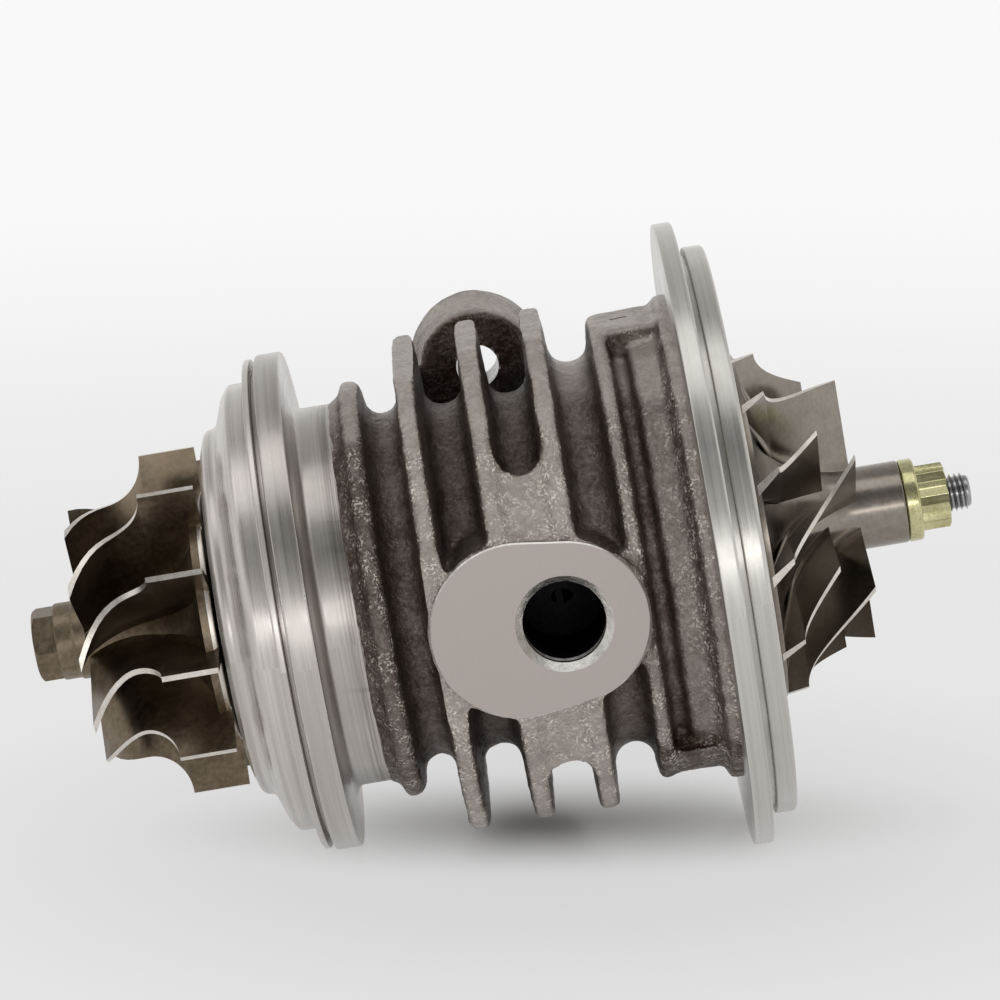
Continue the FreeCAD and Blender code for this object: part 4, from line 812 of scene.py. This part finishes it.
def rotor_shaft():
    """Ground shaft with the seal groove, two journals and a threaded end."""
    corners = [(-7, 0, 0), (-7, BOSS_RADIUS, 0.1), (-4.6, BOSS_RADIUS, 0), (-4.6, 6.51, 0), (-3, 6.51, 0)]
    corners += [(-3, BOSS_RADIUS, 0), (2.4, BOSS_RADIUS, 0.3), (7.5, JOURNAL_RADIUS, 0)]
    corners += [(25, JOURNAL_RADIUS, 0.1), (25.2, 3.6, 0), (40.2, 3.6, 0), (40.4, JOURNAL_RADIUS, 0.1)]
    corners += [(51.8, JOURNAL_RADIUS, 0.15), (51.8, 3.1, 0), (96.2, 3.1, 0), (96.4, THREAD_CORE, 0)]
    corners += [(SHAFT_END, THREAD_CORE, 0.5), (SHAFT_END, 0, 0)]
    thread = screw_thread(96.5, 10, 0.8, THREAD_CORE, 2.93)
    bm = combined(turned(corners, steps=96), [("UNION", thread)])
    new_piece("ground_rotor_shaft", bm, "rotor", [GROUND_STEEL], ["rotor_shaft"])


def inner_nodes():
    """Finishes of the pieces inside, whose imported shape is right."""
    finishes = {
        "turbine_journal_bearing": BRONZE, "compressor_journal_bearing": BRONZE, "thrust_bearing": BRONZE,
        "turbine_bearing_outer_snap_ring": SPRING_STEEL, "turbine_bearing_inner_snap_ring": SPRING_STEEL,
        "compressor_bearing_snap_ring": SPRING_STEEL, "turbine_piston_ring": SPRING_STEEL,
        "compressor_piston_ring": SPRING_STEEL, "thrust_collar": PRESSED_STEEL,
        "thrust_bearing_pins": PRESSED_STEEL, "oil_baffle": PRESSED_STEEL, "seal_sleeve": PRESSED_STEEL,
        "backplate_seal_ring": RUBBER, "backplate_screws": SPRING_STEEL,
    }
    for name, finish in finishes.items():
        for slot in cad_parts[name].material_slots:
            slot.material = finish


# Floor, light and camera

FLOOR_SLOPE = math.atan(0.1537)
FLOOR_DROP = 38.9
FAR_FLOOR = (0.945, 0.945, 0.945)


def ray_seen(tree):
    """1 for what the camera, a glossy or a transmitted ray sees."""
    path = node(tree, "LightPath")
    seen = maths(tree, "MAXIMUM", path.outputs["Is Camera Ray"], path.outputs["Is Glossy Ray"])
    return maths(tree, "MAXIMUM", seen, path.outputs["Is Transmission Ray"])


def distance_from(tree, flat, centre, squeeze):
    """Distance over the floor from a place below the object, shortened along the shaft by squeeze."""
    moved = node(tree, "VectorMath", {0: flat, 1: (*centre, 0)}, operation="SUBTRACT").outputs[0]
    scaled = node(tree, "VectorMath", {0: moved, 1: (squeeze, 1, 1)}, operation="MULTIPLY").outputs[0]
    return node(tree, "VectorMath", {0: scaled}, operation="LENGTH").outputs["Value"]


def floor():
    """The pale floor under both flanges, fading into the background away from the object, with a painted
    contact shadow under it and painted shade round it.
    """
    bm = bmesh.new()
    bmesh.ops.create_circle(bm, cap_ends=True, segments=96, radius=4.0)
    place = Matrix.Translation((0, 0, -FLOOR_DROP * MM)) @ Matrix.Rotation(FLOOR_SLOPE, 4, "Y")
    bmesh.ops.transform(bm, matrix=place, verts=bm.verts[:])
    mesh = bpy.data.meshes.new("floor")
    bm.to_mesh(mesh)
    bm.free()
    sheet, tree, shader = new_finish("pale_floor", roughness=0.22)
    place = node(tree, "TexCoord").outputs["Object"]
    parts = node(tree, "SeparateXYZ", {0: place})
    flat = node(tree, "CombineXYZ", {"X": parts.outputs["X"], "Y": parts.outputs["Y"]}).outputs[0]
    below = distance_from(tree, flat, (0.036, 0.006), 0.4)
    away = distance_from(tree, flat, (0.033, 0.0), 0.9)
    # Painted contact shadow: the floor's own colour darkens right under the object
    under = blended(tree, ramp(tree, below, 0.0, 0.014), (0.56, 0.545, 0.54), (0.78, 0.78, 0.775))
    tree.links.new(under, shader.inputs["Base Color"])
    fade = maths(tree, "MULTIPLY", ramp(tree, below, 0.0, 0.029), ray_seen(tree))
    # Painted shade: the glow is darker round the object and pales away from it
    painted_near_shade = blended(tree, ramp(tree, away, 0.02, 0.11), (0.67, 0.67, 0.67), (0.79, 0.79, 0.79))
    shade = blended(tree, ramp(tree, away, 0.10, 0.60), painted_near_shade, FAR_FLOOR)
    glow = node(tree, "Emission", {"Color": shade})
    mix = node(tree, "MixShader", {0: fade, 1: shader.outputs[0], 2: glow.outputs[0]})
    tree.links.new(mix.outputs[0], tree.nodes["Material Output"].inputs["Surface"])
    mesh.materials.append(sheet)
    ground = bpy.data.objects.new("floor", mesh)
    bpy.context.scene.collection.objects.link(ground)


def studio_world():
    """Surroundings in bands, from the front horizon over the top to the back, pale low down."""
    world = bpy.data.worlds.new("studio")
    bpy.context.scene.world = world
    world.use_nodes = True
    tree = world.node_tree
    way = node(tree, "SeparateXYZ", {0: node(tree, "TexCoord").outputs["Generated"]})
    back = maths(tree, "MULTIPLY", way.outputs["Y"], -1.0)
    turn = maths(tree, "DIVIDE", maths(tree, "ARCTAN2", way.outputs["Z"], back), math.pi)
    levels = node(tree, "ValToRGB", {"Fac": turn})
    stops = ((0, 0.86), (0.055, 0.80), (0.14, 0.42), (0.25, 0.20), (0.36, 0.36), (0.50, 0.46),
             (0.60, 0.41), (0.70, 0.54), (0.81, 0.66), (0.92, 0.84), (1, 0.90))
    for place, level in stops[1:-1]:
        levels.color_ramp.elements.new(place)
    for stop, (place, level) in zip(levels.color_ramp.elements, stops):
        stop.position = place
        stop.color = (level, level, level * 0.99, 1)
    sideways = ramp(tree, maths(tree, "ABSOLUTE", way.outputs["X"]), 0.5, 0.92)
    shade = blended(tree, sideways, levels.outputs["Color"], (0.82, 0.82, 0.81))
    shade = blended(tree, ramp(tree, way.outputs["Z"], 0.0, 0.10, 1.0, 0.0), shade, FAR_FLOOR)
    background = tree.nodes["Background"]
    tree.links.new(shade, background.inputs["Color"])
    tree.links.new(ramp(tree, ray_seen(tree), 0, 1, 1.05, 1.0), background.inputs["Strength"])


def soft_light(name, place, aim, size, energy):
    """A rectangular lamp whose first side stays level along the shaft."""
    lamp = bpy.data.lights.new(name, "AREA")
    lamp.shape = "RECTANGLE"
    lamp.size, lamp.size_y = size
    lamp.energy = energy
    holder = bpy.data.objects.new(name, lamp)
    back = (Vector(place) - Vector(aim)).normalized()
    across = (Vector((1, 0, 0)) - back * back.x).normalized()
    turn = Matrix((across, back.cross(across), back)).transposed().to_4x4()
    holder.matrix_world = Matrix.Translation(place) @ turn
    bpy.context.scene.collection.objects.link(holder)


def camera():
    """The photograph's view: nearly along +Y, from a little above, rolled by the sloping stance."""
    azimuth, elevation, roll = 0.0131, 0.2462, -0.1689
    aim = Vector((33.6158, 0, 10.7578)) * MM
    distance, focal_pixels, picture_pixels = 652.5 * MM, 4231.25, 1000
    back = Vector((math.sin(azimuth) * math.cos(elevation), -math.cos(azimuth) * math.cos(elevation),
                   math.sin(elevation)))
    level = (-back).cross(Vector((0, 0, 1))).normalized()
    rise = level.cross(-back)
    across = math.cos(roll) * level + math.sin(roll) * rise
    upward = math.cos(roll) * rise - math.sin(roll) * level
    lens = bpy.data.cameras.new("camera")
    lens.sensor_width = 36
    lens.lens = focal_pixels / picture_pixels * lens.sensor_width
    lens.clip_start = 0.01
    holder = bpy.data.objects.new("camera", lens)
    turn = Matrix((across, upward, back)).transposed().to_4x4()
    holder.matrix_world = Matrix.Translation(aim + back * distance) @ turn
    bpy.context.scene.collection.objects.link(holder)
    bpy.context.scene.camera = holder


bearing_housing()
heat_shroud()
backplate()
turbine_wheel()
compressor_wheel()
shaft_nut()
rotor_shaft()
inner_nodes()
floor()
studio_world()
soft_light("overhead", (0.03, -0.13, 0.78), (0.03, 0, 0), (1.4, 0.46), 1.7)
soft_light("front_strip", (0.03, -1.3, 0.13), (0.03, 0, 0), (1.3, 0.18), 2.0)
camera()

view = bpy.context.scene.view_settings
view.view_transform = "Standard"
